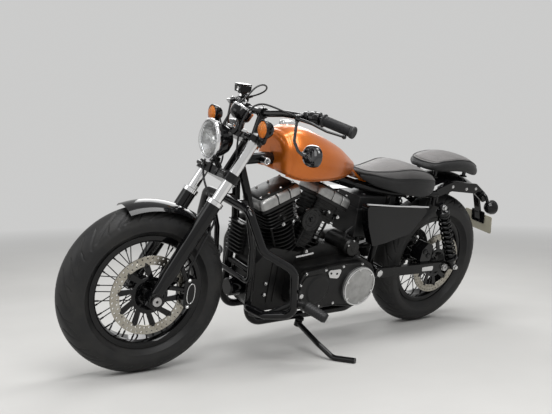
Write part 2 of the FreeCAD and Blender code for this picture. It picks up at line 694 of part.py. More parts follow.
def fender_section(inner_radius, half_width):
    """The curved section of a fender at the top of its wheel, in the Y-Z plane."""
    low = inner_radius - FENDER_DROP
    skin = FENDER_THICKNESS

    def at(y, r):
        return vec(0, y, r)

    inside = Part.Arc(at(-half_width, low), at(0, inner_radius), at(half_width, low)).toShape()
    outside = Part.Arc(at(-half_width - skin, low), at(0, inner_radius + skin),
                       at(half_width + skin, low)).toShape()
    left = Part.LineSegment(at(half_width, low), at(half_width + skin, low)).toShape()
    right = Part.LineSegment(at(-half_width, low), at(-half_width - skin, low)).toShape()
    return Part.Wire(Part.__sortEdges__([inside, left, outside, right]))


def fender(axle, inner_radius, half_width, first, last):
    """A fender from one angle to another, counted from straight ahead, up and over."""
    section = Part.Face(fender_section(inner_radius, half_width))
    shell = section.revolve(vec(0, 0, 0), Y_AXIS, first - last)
    shell.rotate(vec(0, 0, 0), Y_AXIS, 90 - first)
    shell.translate(axle)
    return shell


def front_fender():
    shell = fender(FRONT_AXLE, FRONT_FENDER_RADIUS, FRONT_FENDER_HALF_WIDTH, 72, 128)
    pieces = [shell]
    for side in (-1, 1):
        start = on_fork(FRONT_FENDER_RADIUS - 18, -4, side * (FRONT_FENDER_HALF_WIDTH - 1))
        end = on_fork(FRONT_FENDER_RADIUS - 18, -4, side * (FORK_HALF_SPREAD - SLIDER_RADIUS + 4))
        pieces.append(rod(start, end, 14))
    leg = rod(on_fork(200, 0, FORK_HALF_SPREAD), on_fork(SLIDER_TOP, 0, FORK_HALF_SPREAD),
              SLIDER_RADIUS + SEAT_GAP)
    return fused(pieces).cut(pair(leg))


def front_caliper():
    """The caliper behind the left fork leg, with its two lugs on the leg."""
    angle_points = [(-118, 62), (-118, -50), (-172, -44), (-178, 8), (-168, 66)]
    outline = [(FRONT_AXLE.x + x, FRONT_AXLE.z + z) for x, z in angle_points]
    body = slab(outline, FRONT_DISC_Y - 34, FRONT_DISC_Y + 36, 16)
    slot = disc_room(FRONT_AXLE, FRONT_DISC_Y, FRONT_DISC_RADIUS)
    rim_room = Part.makeCylinder(HUB_FLANGE_RADIUS + 20, 400, FRONT_AXLE + vec(0, -200, 0), Y_AXIS)
    body = body.cut(slot).cut(rim_room)
    lugs = []
    for up in (60, 150):
        start = on_fork(up, -SLIDER_RADIUS + 2, FORK_HALF_SPREAD)
        lugs.append(rod(start, vec(FRONT_AXLE.x - 130, FRONT_DISC_Y + 24, FRONT_AXLE.z + up * 0.35), 9))
    leg = rod(on_fork(SLIDER_FOOT, 0, FORK_HALF_SPREAD), on_fork(SLIDER_TOP, 0, FORK_HALF_SPREAD),
              SLIDER_RADIUS + SEAT_GAP)
    return fused([body] + lugs).cut(leg)


# Frame and chassis

def neck_point(up, ahead=0.0):
    """A point on the steering axis."""
    return on_fork(up, -FORK_OFFSET + ahead)


NECK_LOW = LOWER_CLAMP_HEIGHT + LOWER_CLAMP_THICKNESS / 2 + 2
NECK_HIGH = UPPER_CLAMP_HEIGHT - UPPER_CLAMP_THICKNESS / 2 - 2


SHOCK_TOP = vec(133, SHOCK_Y, 632)
SHOCK_BOTTOM = vec(-40, SHOCK_Y, 330)
SHOCK_PIN = 8.0
PIVOT_HALF_WIDTH = SWINGARM_Y - SWINGARM_THICKNESS / 2 - SEAT_GAP
STRUT_Y = REAR_FENDER_HALF_WIDTH + FENDER_THICKNESS + 7
STRUT_THICKNESS = 8.0


def backbone_route():
    """The line of the backbone from the steering neck to the seat."""
    start = neck_point((NECK_LOW + NECK_HIGH) / 2)
    return [start, vec(1040, 0, 822), vec(700, 0, 740), vec(560, 0, 704)]


def upright_route():
    """The line of a rear upright, from the lower rail past the pivot to the seat rail."""
    return [vec(PIVOT_X + 34, REAR_UPRIGHT_Y, FRAME_RAIL_Z + 6), vec(PIVOT_X - 6, REAR_UPRIGHT_Y, PIVOT_Z),
            vec(PIVOT_X - 30, REAR_UPRIGHT_Y + 8, SEAT_RAIL_Z)]


def upright_point(height):
    """A point on the left rear upright between the pivot and the seat rail."""
    low, high = upright_route()[1:]
    share = (height - low.z) / (high.z - low.z)
    return low + (high - low) * share


def down_route():
    """The line of the left cradle tube from the neck down to the lower rail."""
    x = CRADLE_FRONT_X
    return [neck_point((NECK_LOW + NECK_HIGH) / 2) + vec(0, 10, 0),
            neck_point(NECK_LOW - 10, -80) + vec(0, 34, 0), vec(x + 16, FRAME_RAIL_Y - 30, 560),
            vec(x + 6, FRAME_RAIL_Y - 12, 380), vec(x, FRAME_RAIL_Y, FRAME_RAIL_Z)]


def down_point(height):
    """A point on the left cradle tube between the neck and the lower rail."""
    route = down_route()[1:]
    for high, low in zip(route, route[1:]):
        if height >= low.z:
            return low + (high - low) * ((height - low.z) / (high.z - low.z))
    return route[-1]


def tank_pads():
    """Rubber collars on the backbone that carry the fuel tank."""
    start, end = backbone_route()[1:3]
    along = (end - start).normalize()
    pads = []
    for distance in (60, 260):
        foot = start + along * distance
        pads.append(rod(foot, foot + along * 30, BACKBONE_RADIUS + TANK_TUNNEL_GAP - SEAT_GAP))
    return pads


def stand_lug():
    """The lug under the left rail that holds the side stand's pin."""
    up = vec(*STAND_AXIS).normalize()
    pivot = vec(*STAND_PIVOT)
    boss = rod(pivot + up * 17, pivot + up * 25, STAND_EYE_RADIUS + 3)
    near, far = STAND_PIVOT[0] - 16, STAND_PIVOT[0] + 16
    tongue = slab([(near, 157), (near, 165), (far, 165), (far, 157)], FRAME_RAIL_Y, STAND_PIVOT[1])
    return boss.fuse(tongue)


def frame(extra=0.0):
    """Steering neck, backbone, cradle, uprights and seat rails. Extra thickens every tube."""
    tube = FRAME_TUBE_RADIUS + extra
    neck = rod(neck_point(NECK_LOW), neck_point(NECK_HIGH), NECK_RADIUS + extra)
    backbone = bent_tube(backbone_route(), BACKBONE_RADIUS + extra, 120)
    y = FRAME_RAIL_Y
    cradle = bent_tube(down_route() + [vec(560, y, FRAME_RAIL_Z)] + upright_route(), tube, 70)
    top_of_upright = upright_route()[-1]
    rail = bent_tube([backbone_route()[-1], vec(490, 52, 692), top_of_upright + vec(0, 6, 4),
                      vec(250, SEAT_RAIL_Y, SEAT_RAIL_Z), vec(133, SEAT_RAIL_Y, SEAT_RAIL_Z)], tube, 50)
    shock_arm = rod(vec(SHOCK_TOP.x, SEAT_RAIL_Y, SEAT_RAIL_Z),
                    vec(SHOCK_TOP.x, SEAT_RAIL_Y, SHOCK_TOP.z - 6), tube)
    stud = rod(vec(SHOCK_TOP.x, SEAT_RAIL_Y, SHOCK_TOP.z),
               vec(SHOCK_TOP.x, SHOCK_Y + 20, SHOCK_TOP.z), SHOCK_PIN)
    arm = shock_arm.fuse(stud)
    pivot = rod(vec(PIVOT_X, -PIVOT_HALF_WIDTH, PIVOT_Z), vec(PIVOT_X, PIVOT_HALF_WIDTH, PIVOT_Z), 24)
    cross = rod(vec(560, -y, FRAME_RAIL_Z), vec(560, y, FRAME_RAIL_Z), 13)
    front_end = down_route()[3]
    front_cross = rod(vec(front_end.x, -front_end.y, front_end.z), front_end, 12)
    pieces = [neck, backbone, cradle, mirrored(cradle), rail, mirrored(rail), arm, mirrored(arm),
              pivot, cross, front_cross, stand_lug()] + tank_pads()
    up = vec(*STAND_AXIS).normalize()
    holes = [rod(neck_point(300), neck_point(900), STEM_RADIUS + RUNNING_FIT),
             rod(vec(*STAND_PIVOT), vec(*STAND_PIVOT) + up * 32, STAND_PIN_RADIUS + RUNNING_FIT)]
    return fused(pieces).cut(Part.makeCompound(holes))


FRAME_ROOM = frame(SEAT_GAP)


def engine_case():
    """The crankcase and gearbox, with the starter on top and the output pulley."""
    outline = [(1070, 240), (1070, 400), (1000, 470), (857, 440), (720, 470), (610, 430), (500, 420),
               (490, 250), (560, 200), (1030, 196)]
    half = CASE_HALF_WIDTH
    case = slab(outline, -half, half, 28)
    starter = lathe([(-20, 0), (-20, 38), (half + 40, 38), (half + 52, 30), (half + 52, 0)],
                    vec(606, 0, 456), Y_AXIS)
    rim = FRONT_PULLEY_RADIUS
    pulley = lathe([(-half + 2, 0), (-half + 2, 20), (PULLEY_Y + 12, 20), (PULLEY_Y + 12, rim),
                    (PULLEY_Y - 12, rim), (PULLEY_Y - 12, 16), (PULLEY_Y - 19, 16), (PULLEY_Y - 19, 0)],
                   vec(FRONT_PULLEY_X, 0, FRONT_PULLEY_Z), Y_AXIS)
    return fused([case, starter, pulley])


def primary_cover():
    """The long left-hand cover over clutch and primary chain."""
    outline = [(906, 240), (908, 335), (880, 394), (664, 413), (548, 412), (470, 372), (455, 296),
               (480, 216), (566, 188), (690, 208), (870, 212)]
    start = CASE_HALF_WIDTH + SEAT_GAP
    rear = slab(outline, start, PRIMARY_Y - 22, 44)
    inset = [(892, 250), (894, 330), (872, 380), (664, 399), (552, 398), (484, 362), (470, 296),
             (492, 226), (566, 202), (690, 221), (862, 225)]
    front = slab(inset, PRIMARY_Y - 22, PRIMARY_Y, 36)
    high = PRIMARY_DOME_HEIGHT
    edge = PRIMARY_DOME_RADIUS
    dome = lathe([(-4, 0), (-4, edge), (high * 0.3, edge - 1), (high, edge - 13), (high, 0)],
                 vec(793, PRIMARY_Y, 303), Y_AXIS)
    return fused([rear, front, dome]).cut(engine_case())


def inspection_cover():
    """The polished plate above the middle of the primary cover."""
    outline = [(756, 382), (674, 384), (692, 342), (740, 350)]
    start = PRIMARY_Y + SEAT_GAP
    return slab(outline, start, start + 6, 12)


def derby_cover():
    """The round cover over the clutch."""
    base = vec(DERBY_X, PRIMARY_Y + SEAT_GAP, DERBY_Z)
    return lathe([(0, 0), (0, DERBY_RADIUS), (DERBY_THICKNESS - 7, DERBY_RADIUS),
                  (DERBY_THICKNESS - 2, DERBY_RADIUS - 8), (DERBY_THICKNESS, DERBY_RADIUS - 22),
                  (DERBY_THICKNESS, 0)], base, Y_AXIS)


def cylinder_axis(sign):
    angle = math.radians(CYLINDER_ANGLE) * sign
    return vec(math.sin(angle), 0, math.cos(angle))


CRANK = vec(CRANK_X, 0, CRANK_Z)


def cylinder(sign):
    """One finned barrel with its finned head."""
    step = (CYLINDER_TOP - CYLINDER_BASE - 8) / FIN_COUNT
    outline = [(CYLINDER_BASE, 0), (CYLINDER_BASE, CYLINDER_RADIUS)]
    for index in range(FIN_COUNT):
        low = CYLINDER_BASE + 8 + index * step
        outline += [(low, CYLINDER_RADIUS), (low, FIN_RADIUS), (low + FIN_THICKNESS, FIN_RADIUS),
                    (low + FIN_THICKNESS, CYLINDER_RADIUS)]
    outline += [(CYLINDER_TOP, CYLINDER_RADIUS), (CYLINDER_TOP, 0)]
    return lathe(outline, CRANK, cylinder_axis(sign))


def cylinders():
    front, rear = cylinder(1), cylinder(-1)
    case = engine_case()
    return Part.makeCompound([front.cut(case), rear.cut(case)])


def rocker_form(sign, inset):
    """The outer form of a rocker cover, all round smaller by the inset: a wide base and a rounded lid."""
    axis = cylinder_axis(sign)
    across = vec(axis.z, 0, -axis.x)
    low = CYLINDER_TOP + SEAT_GAP
    rim = (ROCKER_TOP - low) * 0.4

    def layer(base, top, step, bend):
        front, rear, side = ROCKER_FRONT - step, ROCKER_REAR - step, ROCKER_HALF_WIDTH - step
        corners = [(-rear, -side), (front, -side), (front, side), (-rear, side)]
        points = [CRANK + axis * base + across * a + vec(0, b, 0) for a, b in corners]
        return Part.Face(Part.Wire(corner_edges(points, bend, True))).extrude(axis * (top - base))

    base = layer(low, low + rim, inset, 28)
    lid = layer(low + rim, ROCKER_TOP - inset, inset + 4, 26)
    top_edges = [edge for edge in lid.Edges
                 if (edge.CenterOfMass - CRANK).dot(axis) > ROCKER_TOP - inset - 1]
    return fused([base, lid.makeFillet(ROCKER_ROUNDING - inset, top_edges)])


def rocker_box(sign):
    """A rocker cover with the two grooves across it where its sections meet."""
    axis = cylinder_axis(sign)
    across = vec(axis.z, 0, -axis.x)
    core = rocker_form(sign, 3)
    width = ROCKER_HALF_WIDTH + 10
    slots = []
    for place in ROCKER_SEAMS:
        foot = CRANK + across * (place - 1.6)
        corners = [foot + axis * up + vec(0, y, 0)
                   for up, y in ((CYLINDER_TOP + 7, -width), (CYLINDER_TOP + 7, width),
                                 (ROCKER_TOP + 5, width), (ROCKER_TOP + 5, -width))]
        face = Part.Face(Part.makePolygon(corners + corners[:1]))
        slots.append(face.extrude(across * 3.2).cut(core))
    return rocker_form(sign, 0).cut(Part.makeCompound(slots))


def rocker_boxes():
    return Part.makeCompound([rocker_box(1), rocker_box(-1)])


def gearcase_cover():
    """The right-hand cover over the cam gears and the belt pulley."""
    outline = [(1000, 290), (985, 385), (900, 430), (790, 425), (700, 372), (690, 250), (760, 205),
               (920, 205)]
    return slab(outline, GEARCASE_Y, -CASE_HALF_WIDTH - SEAT_GAP, 40)


def pushrod_tubes():
    """Four slim tubes from the cam cover up to the rocker boxes."""
    tubes = []
    for sign in (-1, 1):
        axis = cylinder_axis(sign)
        across = vec(axis.z, 0, -axis.x)
        for offset in (-20, 26):
            foot = vec(CRANK_X + sign * 42 + offset * 0.7, -92, CRANK_Z + 78)
            head = CRANK + axis * (CYLINDER_TOP - 2) + across * offset + vec(0, -86, 0)
            tubes.append(rod(foot, head, 9.5))
    cover = gearcase_cover()
    return Part.makeCompound([tube.cut(cover) for tube in tubes])


def air_cleaner():
    centre = vec(CRANK_X - 4, -118, 590)
    return lathe([(0, 0), (0, 88), (34, 92), (44, 84), (50, 60), (52, 0)], centre, -Y_AXIS)


def intake():
    """The throttle body between the heads and its duct to the air cleaner."""
    centre = vec(CRANK_X - 4, 0, 590)
    duct = rod(centre + vec(0, 30, 0), centre + vec(0, -118 + SEAT_GAP, 0), 30)
    runner = rod(centre + vec(-60, 0, -6), centre + vec(60, 0, -6), 22)
    barrels = Part.makeCompound([cylinder(1), cylinder(-1)])
    room = Part.makeCompound([rod(CRANK + cylinder_axis(s) * CYLINDER_BASE,
                                  CRANK + cylinder_axis(s) * (CYLINDER_TOP + 80), FIN_RADIUS + SEAT_GAP)
                              for s in (-1, 1)])
    return fused([duct, runner]).cut(room).cut(rocker_boxes())


EXHAUST_Y = -228.0
MUFFLER_RADIUS = 36.0
PIPE_RADIUS = 22.0


def exhaust():
    """Two header pipes and two slash-cut mufflers along the right side."""
    front_port = CRANK + cylinder_axis(1) * 262 + vec(72, -46, -14)
    front = bent_tube([front_port, front_port + vec(24, -48, -12), vec(1056, -144, 440), vec(1030, -156, 270),
                       vec(760, -162, 262), vec(560, -200, 266), vec(430, EXHAUST_Y, 280)], PIPE_RADIUS, 80)
    rear_port = CRANK + cylinder_axis(-1) * 262 + vec(-62, -40, -14)
    rear = bent_tube([rear_port, rear_port + vec(-44, -46, -14), vec(622, -176, 470),
                      vec(590, EXHAUST_Y, 388), vec(470, EXHAUST_Y, 372)], PIPE_RADIUS, 50)
    lower = rod(vec(430, EXHAUST_Y, 280), vec(-190, EXHAUST_Y, 300), MUFFLER_RADIUS)
    upper = rod(vec(470, EXHAUST_Y, 372), vec(-90, EXHAUST_Y, 402), MUFFLER_RADIUS)
    strap = rod(vec(200, EXHAUST_Y, 288), vec(200, EXHAUST_Y, 385), 14)
    frame_end = upright_point(400)
    bracket = bent_tube([vec(340, EXHAUST_Y, 378), vec(360, -150, 384),
                         vec(frame_end.x, -frame_end.y, frame_end.z)], 9, 20)
    bars = Part.makeCompound([rod(CRANK + cylinder_axis(s) * CYLINDER_BASE,
                                  CRANK + cylinder_axis(s) * CYLINDER_TOP, FIN_RADIUS + SEAT_GAP)
                              for s in (-1, 1)])
    return fused([front, rear, lower, upper, strap, bracket]).cut(bars).cut(FRAME_ROOM)


def tank_section(x, half, low, high, flare=0.62):
    """One section of the fuel tank: flat below, widest low down, rounded on top."""
    height = high - low
    points = [vec(x, 0, low), vec(x, half * 0.72, low + 1), vec(x, half, low + height * 0.24),
              vec(x, half * 0.93, low + height * 0.55), vec(x, half * flare, low + height * 0.88),
              vec(x, 0, high)]
    others = [vec(p.x, -p.y, p.z) for p in reversed(points[1:-1])]
    return closed_curve(points + others)


def fuel_tank():
    sections = [tank_section(1066, 62, 800, 900), tank_section(1050, 104, 780, 945),
                tank_section(1000, 128, 771, 966), tank_section(920, 138, 768, 952),
                tank_section(820, 128, 766, 920), tank_section(720, 98, 764, 884),
                tank_section(640, 58, 768, 838), tank_section(600, 34, 778, 812)]
    body = Part.makeLoft(sections, True, False)
    reach = BACKBONE_RADIUS + TANK_TUNNEL_GAP
    tunnel = bent_tube(backbone_route(), reach, 120)
    slot = block((560, -reach, 700), (1100, reach, 790))
    neck_room = rod(neck_point(NECK_LOW), neck_point(NECK_HIGH), NECK_RADIUS + TANK_TUNNEL_GAP)
    return body.cut(tunnel).cut(slot).cut(neck_room).cut(FRAME_ROOM)


def fuel_cap():
    base = vec(930, -46, 940)
    cap = lathe([(0, 0), (0, 31), (20, 31), (25, 25), (25, 0)], base, vec(-0.14, -0.2, 1))
    return cap.cut(fuel_tank())


def oval_section(x, half, low, high):
    """One section of a pad: soft sides, flat below."""
    height = high - low
    points = [vec(x, 0, low), vec(x, half * 0.8, low), vec(x, half, low + height * 0.4),
              vec(x, half * 0.72, low + height * 0.88), vec(x, 0, high)]
    others = [vec(p.x, -p.y, p.z) for p in reversed(points[1:-1])]
    return closed_curve(points + others)


def rider_seat():
    sections = [oval_section(560, 40, 752, 776), oval_section(500, 72, 745, 786),
                oval_section(420, 110, 716, 800), oval_section(330, 138, 712, 808),
                oval_section(240, 142, 712, 796), oval_section(170, 122, 712, 770),
                oval_section(136, 90, 714, 742)]
    body = Part.makeLoft(sections, True, False)
    return body.cut(over_fender()).cut(FRAME_ROOM)


def over_fender():
    """The space that the rear fender takes, with a thin gap above it."""
    radius = REAR_FENDER_RADIUS + FENDER_THICKNESS + SEAT_GAP
    return Part.makeCylinder(radius, 400, REAR_AXLE + vec(0, -200, 0), Y_AXIS)


def pillion_seat():
    sections = [oval_section(222, 52, 774, 800), oval_section(180, 88, 772, 832),
                oval_section(90, 108, 772, 850), oval_section(0, 112, 772, 853),
                oval_section(-110, 104, 762, 840), oval_section(-190, 78, 742, 800),
                oval_section(-222, 50, 742, 770)]
    body = Part.makeLoft(sections, True, False)
    return body.cut(over_fender()).cut(rider_seat())


def rear_fender():
    return fender(REAR_AXLE, REAR_FENDER_RADIUS, REAR_FENDER_HALF_WIDTH, 50, 133)


def fender_struts():
    """Side rails that carry the rear fender, from the seat rails back."""
    outline = [(131, 670), (131, 692), (20, 730), (-150, 716), (-232, 668), (-250, 628), (-226, 622),
               (-150, 668), (20, 684), (108, 660)]
    strut = slab(outline, STRUT_Y, STRUT_Y + STRUT_THICKNESS, 10)
    spacers = []
    for x, z in ((20, 706), (-150, 692)):
        spacers.append(rod(vec(x, STRUT_Y - 14, z), vec(x, STRUT_Y + 1, z), 8))
    return pair(fused([strut] + spacers).cut(rear_fender()).cut(FRAME_ROOM))


def shocks():
    """Two coil-over dampers beside the rear wheel."""
    along = SHOCK_BOTTOM - SHOCK_TOP
    length = along.Length
    outer = SHOCK_RADIUS
    outline = [(-16, 0), (-16, 14), (18, 14), (22, outer), (40, outer)]
    coils = 9
    step = (length - 110) / coils
    for index in range(coils):
        low = 44 + index * step
        outline += [(low, 22), (low + step * 0.25, outer - 1), (low + step * 0.6, outer - 1),
                    (low + step * 0.85, 22)]
    outline += [(length - 60, outer), (length - 50, outer), (length - 46, 14), (length + 15, 14),
                (length + 15, 0)]
    damper = lathe(outline, SHOCK_TOP, along)
    holes = []
    for end in (SHOCK_TOP, SHOCK_BOTTOM):
        holes.append(rod(end + vec(0, -60, 0), end + vec(0, 60, 0), SHOCK_PIN + SEAT_GAP))
    return pair(damper.cut(Part.makeCompound(holes)))


def swingarm():
    """The rear fork: a pivot tube and two arms to the axle."""
    y = SWINGARM_Y
    half = SWINGARM_DEPTH / 2
    outline = [(PIVOT_X + 24, PIVOT_Z - half), (PIVOT_X + 24, PIVOT_Z + half), (-10, REAR_AXLE.z + half),
               (-56, REAR_AXLE.z + half - 4), (-56, REAR_AXLE.z - half + 4), (-10, REAR_AXLE.z - half)]
    arm = slab(outline, y - SWINGARM_THICKNESS / 2, y + SWINGARM_THICKNESS / 2, 12)
    stud = rod(vec(SHOCK_BOTTOM.x, y, SHOCK_BOTTOM.z), vec(SHOCK_BOTTOM.x, SHOCK_Y + 20, SHOCK_BOTTOM.z),
               SHOCK_PIN)
    axle_hole = rod(REAR_AXLE, REAR_AXLE + vec(0, 300, 0), AXLE_RADIUS + SEAT_GAP)
    side = fused([arm, stud]).cut(axle_hole)
    bridge = rod(vec(PIVOT_X - 50, -y, PIVOT_Z), vec(PIVOT_X - 50, y, PIVOT_Z), 14)
    return fused([side, mirrored(side), bridge])


def rear_axle():
    inner = SWINGARM_Y - SWINGARM_THICKNESS / 2 - SEAT_GAP
    outer = SWINGARM_Y + SWINGARM_THICKNESS / 2 + SEAT_GAP
    hub = REAR_HUB_HALF_WIDTH + RUNNING_FIT
    spacer = AXLE_RADIUS + 6
    half = [(hub, AXLE_RADIUS), (hub, spacer), (inner, spacer), (inner, AXLE_RADIUS),
            (outer, AXLE_RADIUS), (outer, 17), (outer + 12, 17), (outer + 12, AXLE_BORE_RADIUS)]
    left = [(-y, r) for y, r in reversed(half)]
    return lathe(left + half, REAR_AXLE, Y_AXIS)


def drive_belt():
    """The toothed belt round both pulleys, as one closed loop."""
    gap = 0.6

    def loop(extra, y_low, y_high):
        small = FRONT_PULLEY_RADIUS + extra
        large = REAR_PULLEY_RADIUS + extra
        distance = math.hypot(FRONT_PULLEY_X - REAR_AXLE.x, FRONT_PULLEY_Z - REAR_AXLE.z)
        tilt = math.atan2(FRONT_PULLEY_Z - REAR_AXLE.z, FRONT_PULLEY_X - REAR_AXLE.x)
        lean = math.asin((large - small) / distance)
        front = vec(FRONT_PULLEY_X, y_low, FRONT_PULLEY_Z)
        rear = vec(REAR_AXLE.x, y_low, REAR_AXLE.z)

        def around(centre, radius, angle):
            return centre + vec(radius * math.cos(angle + tilt), 0, radius * math.sin(angle + tilt))

        touch = math.pi / 2 - lean
        edges = [Part.LineSegment(around(rear, large, touch), around(front, small, touch)).toShape(),
                 Part.Arc(around(front, small, touch), around(front, small, 0),
                          around(front, small, -touch)).toShape(),
                 Part.LineSegment(around(front, small, -touch), around(rear, large, -touch)).toShape(),
                 Part.Arc(around(rear, large, -touch), around(rear, large, math.pi),
                          around(rear, large, touch)).toShape()]
        return Part.Face(Part.Wire(edges)).extrude(vec(0, y_high - y_low, 0))

    half = BELT_WIDTH / 2
    outer = loop(gap + BELT_THICKNESS, PULLEY_Y - half, PULLEY_Y + half)
    inner = loop(gap, PULLEY_Y - half - 1, PULLEY_Y + half + 1)
    return outer.cut(inner)


def side_bosses(panel_y):
    """Two bosses from a left side panel's back to the rear upright."""
    bosses = []
    for height in (520, 600):
        seat = upright_point(height)
        bosses.append(rod(seat, vec(seat.x, panel_y + 2, seat.z), 8))
    return bosses


def battery_cover():
    """The left side panel under the seat."""
    outline = [(596, 652), (205, 624), (300, 512), (446, 478), (520, 468), (566, 560)]
    low = FRAME_RAIL_Y + FRAME_TUBE_RADIUS + 2
    panel = slab(outline, low, PRIMARY_Y, 16)
    return fused([panel] + side_bosses(low)).cut(FRAME_ROOM)


def oil_tank():
    """The right-hand tank under the seat."""
    outline = [(590, 650), (240, 640), (262, 520), (420, 478), (540, 486)]
    low = FRAME_RAIL_Y + FRAME_TUBE_RADIUS + 2
    tank = slab(outline, low, low + 56, 26)
    return mirrored(fused([tank] + side_bosses(low)).cut(FRAME_ROOM))


REAR_SIGNAL = vec(-232, 150, 612)


def rear_signals():
    foot = vec(-206, STRUT_Y + STRUT_THICKNESS + SEAT_GAP, 664)
    return pair(signal_body(REAR_SIGNAL, -1, [foot, foot + vec(0, 22, 0)]))


def rear_signal_lenses():
    return pair(signal_lens(REAR_SIGNAL, -1))


def plate():
    """The blank number plate on its bracket behind the rear fender."""
    sheet = block((-351, -100, 440), (-349, 100, 552))
    sheet.rotate(vec(-350, 0, 552), Y_AXIS, 14)
    bracket = slab([(-350, 548), (-294, 656), (-284, 650), (-338, 540), (-354, 500), (-362, 502)], -16, 16)
    return fused([sheet, bracket]).cut(rear_fender())


def engine_guard(extra=0.0):
    """The crash bar: a loop on each side, its top bar, the inner bar below it and the seats on the frame."""
    tube = GUARD_TUBE_RADIUS + extra
    inner = GUARD_INNER_RADIUS + extra
    side = bent_tube([vec(1190, 96, 655), vec(1194, 150, 652), vec(1160, 222, 522), vec(1067, 306, 470),
                      vec(1036, 306, 290), vec(1092, 200, 250), vec(1112, 118, 250), down_point(250)],
                     tube, 50)
    top = rod(vec(1190, -96, 655), vec(1190, 96, 655), tube)
    seat = rod(vec(1190, 42, 655), down_point(655), 12)
    upright = [vec(1188, 130, 650), vec(1138, 124, 500), vec(1122, 122, 352)]
    inner_bar = bent_tube(upright + [mirrored_point(p) for p in reversed(upright)], inner, 40)
    return fused([side, mirrored(side), top, seat, mirrored(seat), inner_bar]).cut(FRAME_ROOM)


GUARD_ROOM = engine_guard(SEAT_GAP)


def foot_control():
    """The left foot peg on its arm, with the lever ahead of it."""
    peg = lathe([(0, 0), (0, 12), (14, 20), (96, 20), (104, 16), (104, 0)], vec(991, 300, 324),
                vec(-64, 100, -34))
    arm = bent_tube([vec(CRADLE_FRONT_X - 6, FRAME_RAIL_Y, 211), vec(1080, 200, 246), vec(1012, 268, 318),
                     vec(988, 306, 325)],
                    13, 40)
    lever = bent_tube([vec(1010, 272, 330), vec(1042, 268, 380), vec(1040, 330, 392)], 7, 14)
    return fused([peg, arm, lever]).cut(FRAME_ROOM).cut(GUARD_ROOM)


def horn():
    centre = vec(845, 76, 590)
    return fused([lathe([(0, 0), (0, 40), (20, 48), (30, 44), (34, 20), (34, 0)], centre, Y_AXIS),
                  rod(vec(845, 30 + SEAT_GAP, 590), vec(845, 80, 590), 10)])


def regulator():
    """The finned block between the cradle tubes, on a plate that spans them."""
    half = 46
    low, high = 440, 570
    back = down_point((low + high) / 2).x + FRAME_TUBE_RADIUS - 1
    carrier = block((back - 4, -78, 480), (back + 4, 78, 530))
    body = block((back, -half, low), (back + 10, half, high))
    fins = []
    for index in range(REGULATOR_FINS):
        foot = low + 2 + index * (high - low - 8) / (REGULATOR_FINS - 1)
        fins.append(block((back + 8, -half, foot), (back + 30, half, foot + 4)))
    return fused([carrier, body] + fins).cut(FRAME_ROOM)


def oil_filter():
    centre = vec(1070 + SEAT_GAP, 0, 290)
    return lathe([(0, 0), (0, 36), (62, 36), (68, 30), (68, 0)], centre, X_AXIS)


def rear_caliper():
    """The caliper ahead of the rear axle, above the left arm."""
    outline = [(84, 352), (84, 430), (120, 442), (152, 410), (158, 352)]
    body = slab(outline, REAR_DISC_Y - 28, REAR_DISC_Y + 34, 14)
    slot = disc_room(REAR_AXLE, REAR_DISC_Y, REAR_DISC_RADIUS)
    foot = slab([(96, 334), (96, 370), (150, 370), (150, 334)], REAR_DISC_Y + CALIPER_SLOT / 2 + 2,
                REAR_DISC_Y + 34, 6)
    return fused([body, foot]).cut(slot).cut(swingarm())


# Side stand, which swings back along the frame about a nearly upright pin

def side_stand(foot):
    """The stand from its pivot out to the floor, with the last stretch flat on it."""
    pivot = vec(*STAND_PIVOT)
    up = vec(*STAND_AXIS).normalize()
    pin = rod(pivot - up * 12, pivot + up * 28, STAND_PIN_RADIUS)
    eye = rod(pivot - up * 12, pivot + up * 9, STAND_EYE_RADIUS)
    leg = bent_tube([pivot, vec(*STAND_KNEE)] + foot, STAND_RADIUS, 60)
    return fused([pin, eye, leg])


# Where everything ends up: steered, leaned and with the origin under the middle

def contact_radius(direction_y, wheel_radius, width):
    """How far below its axle a leaned wheel reaches."""
    crown = crown_radius(width)
    return (wheel_radius - crown) * math.sqrt(1 - direction_y ** 2) + crown


def find_lift():
    """The pitch and the lift that set both leaned tyres on the floor."""
    steer = FreeCAD.Rotation(STEER_UP, STEER_AT_REST)
    axle_line = steer.multVec(Y_AXIS)
    front = STEER_FOOT + steer.multVec(FRONT_AXLE - STEER_FOOT)
    pitch = 0.0
    for turn in range(6):
        lean = FreeCAD.Rotation(X_AXIS, -LEAN_AT_REST).multiply(FreeCAD.Rotation(Y_AXIS, pitch))
        front_gap = lean.multVec(front).z - contact_radius(lean.multVec(axle_line).z, FRONT_TYRE_RADIUS,
                                                           FRONT_TYRE_WIDTH)
        rear_gap = lean.multVec(REAR_AXLE).z - contact_radius(lean.multVec(Y_AXIS).z, REAR_TYRE_RADIUS,
                                                              REAR_TYRE_WIDTH)
        pitch += math.degrees(math.atan2(front_gap - rear_gap, WHEELBASE))
    return FreeCAD.Placement(vec(0, 0, -rear_gap), lean)


PARK = find_lift()
STEER = FreeCAD.Placement(vec(0, 0, 0), FreeCAD.Rotation(STEER_UP, STEER_AT_REST), STEER_FOOT)
STAND_FOOT = [PARK.inverse().multVec(vec(x, y, STAND_RADIUS)) for x, y in (STAND_FOOT_START, STAND_FOOT_END)]

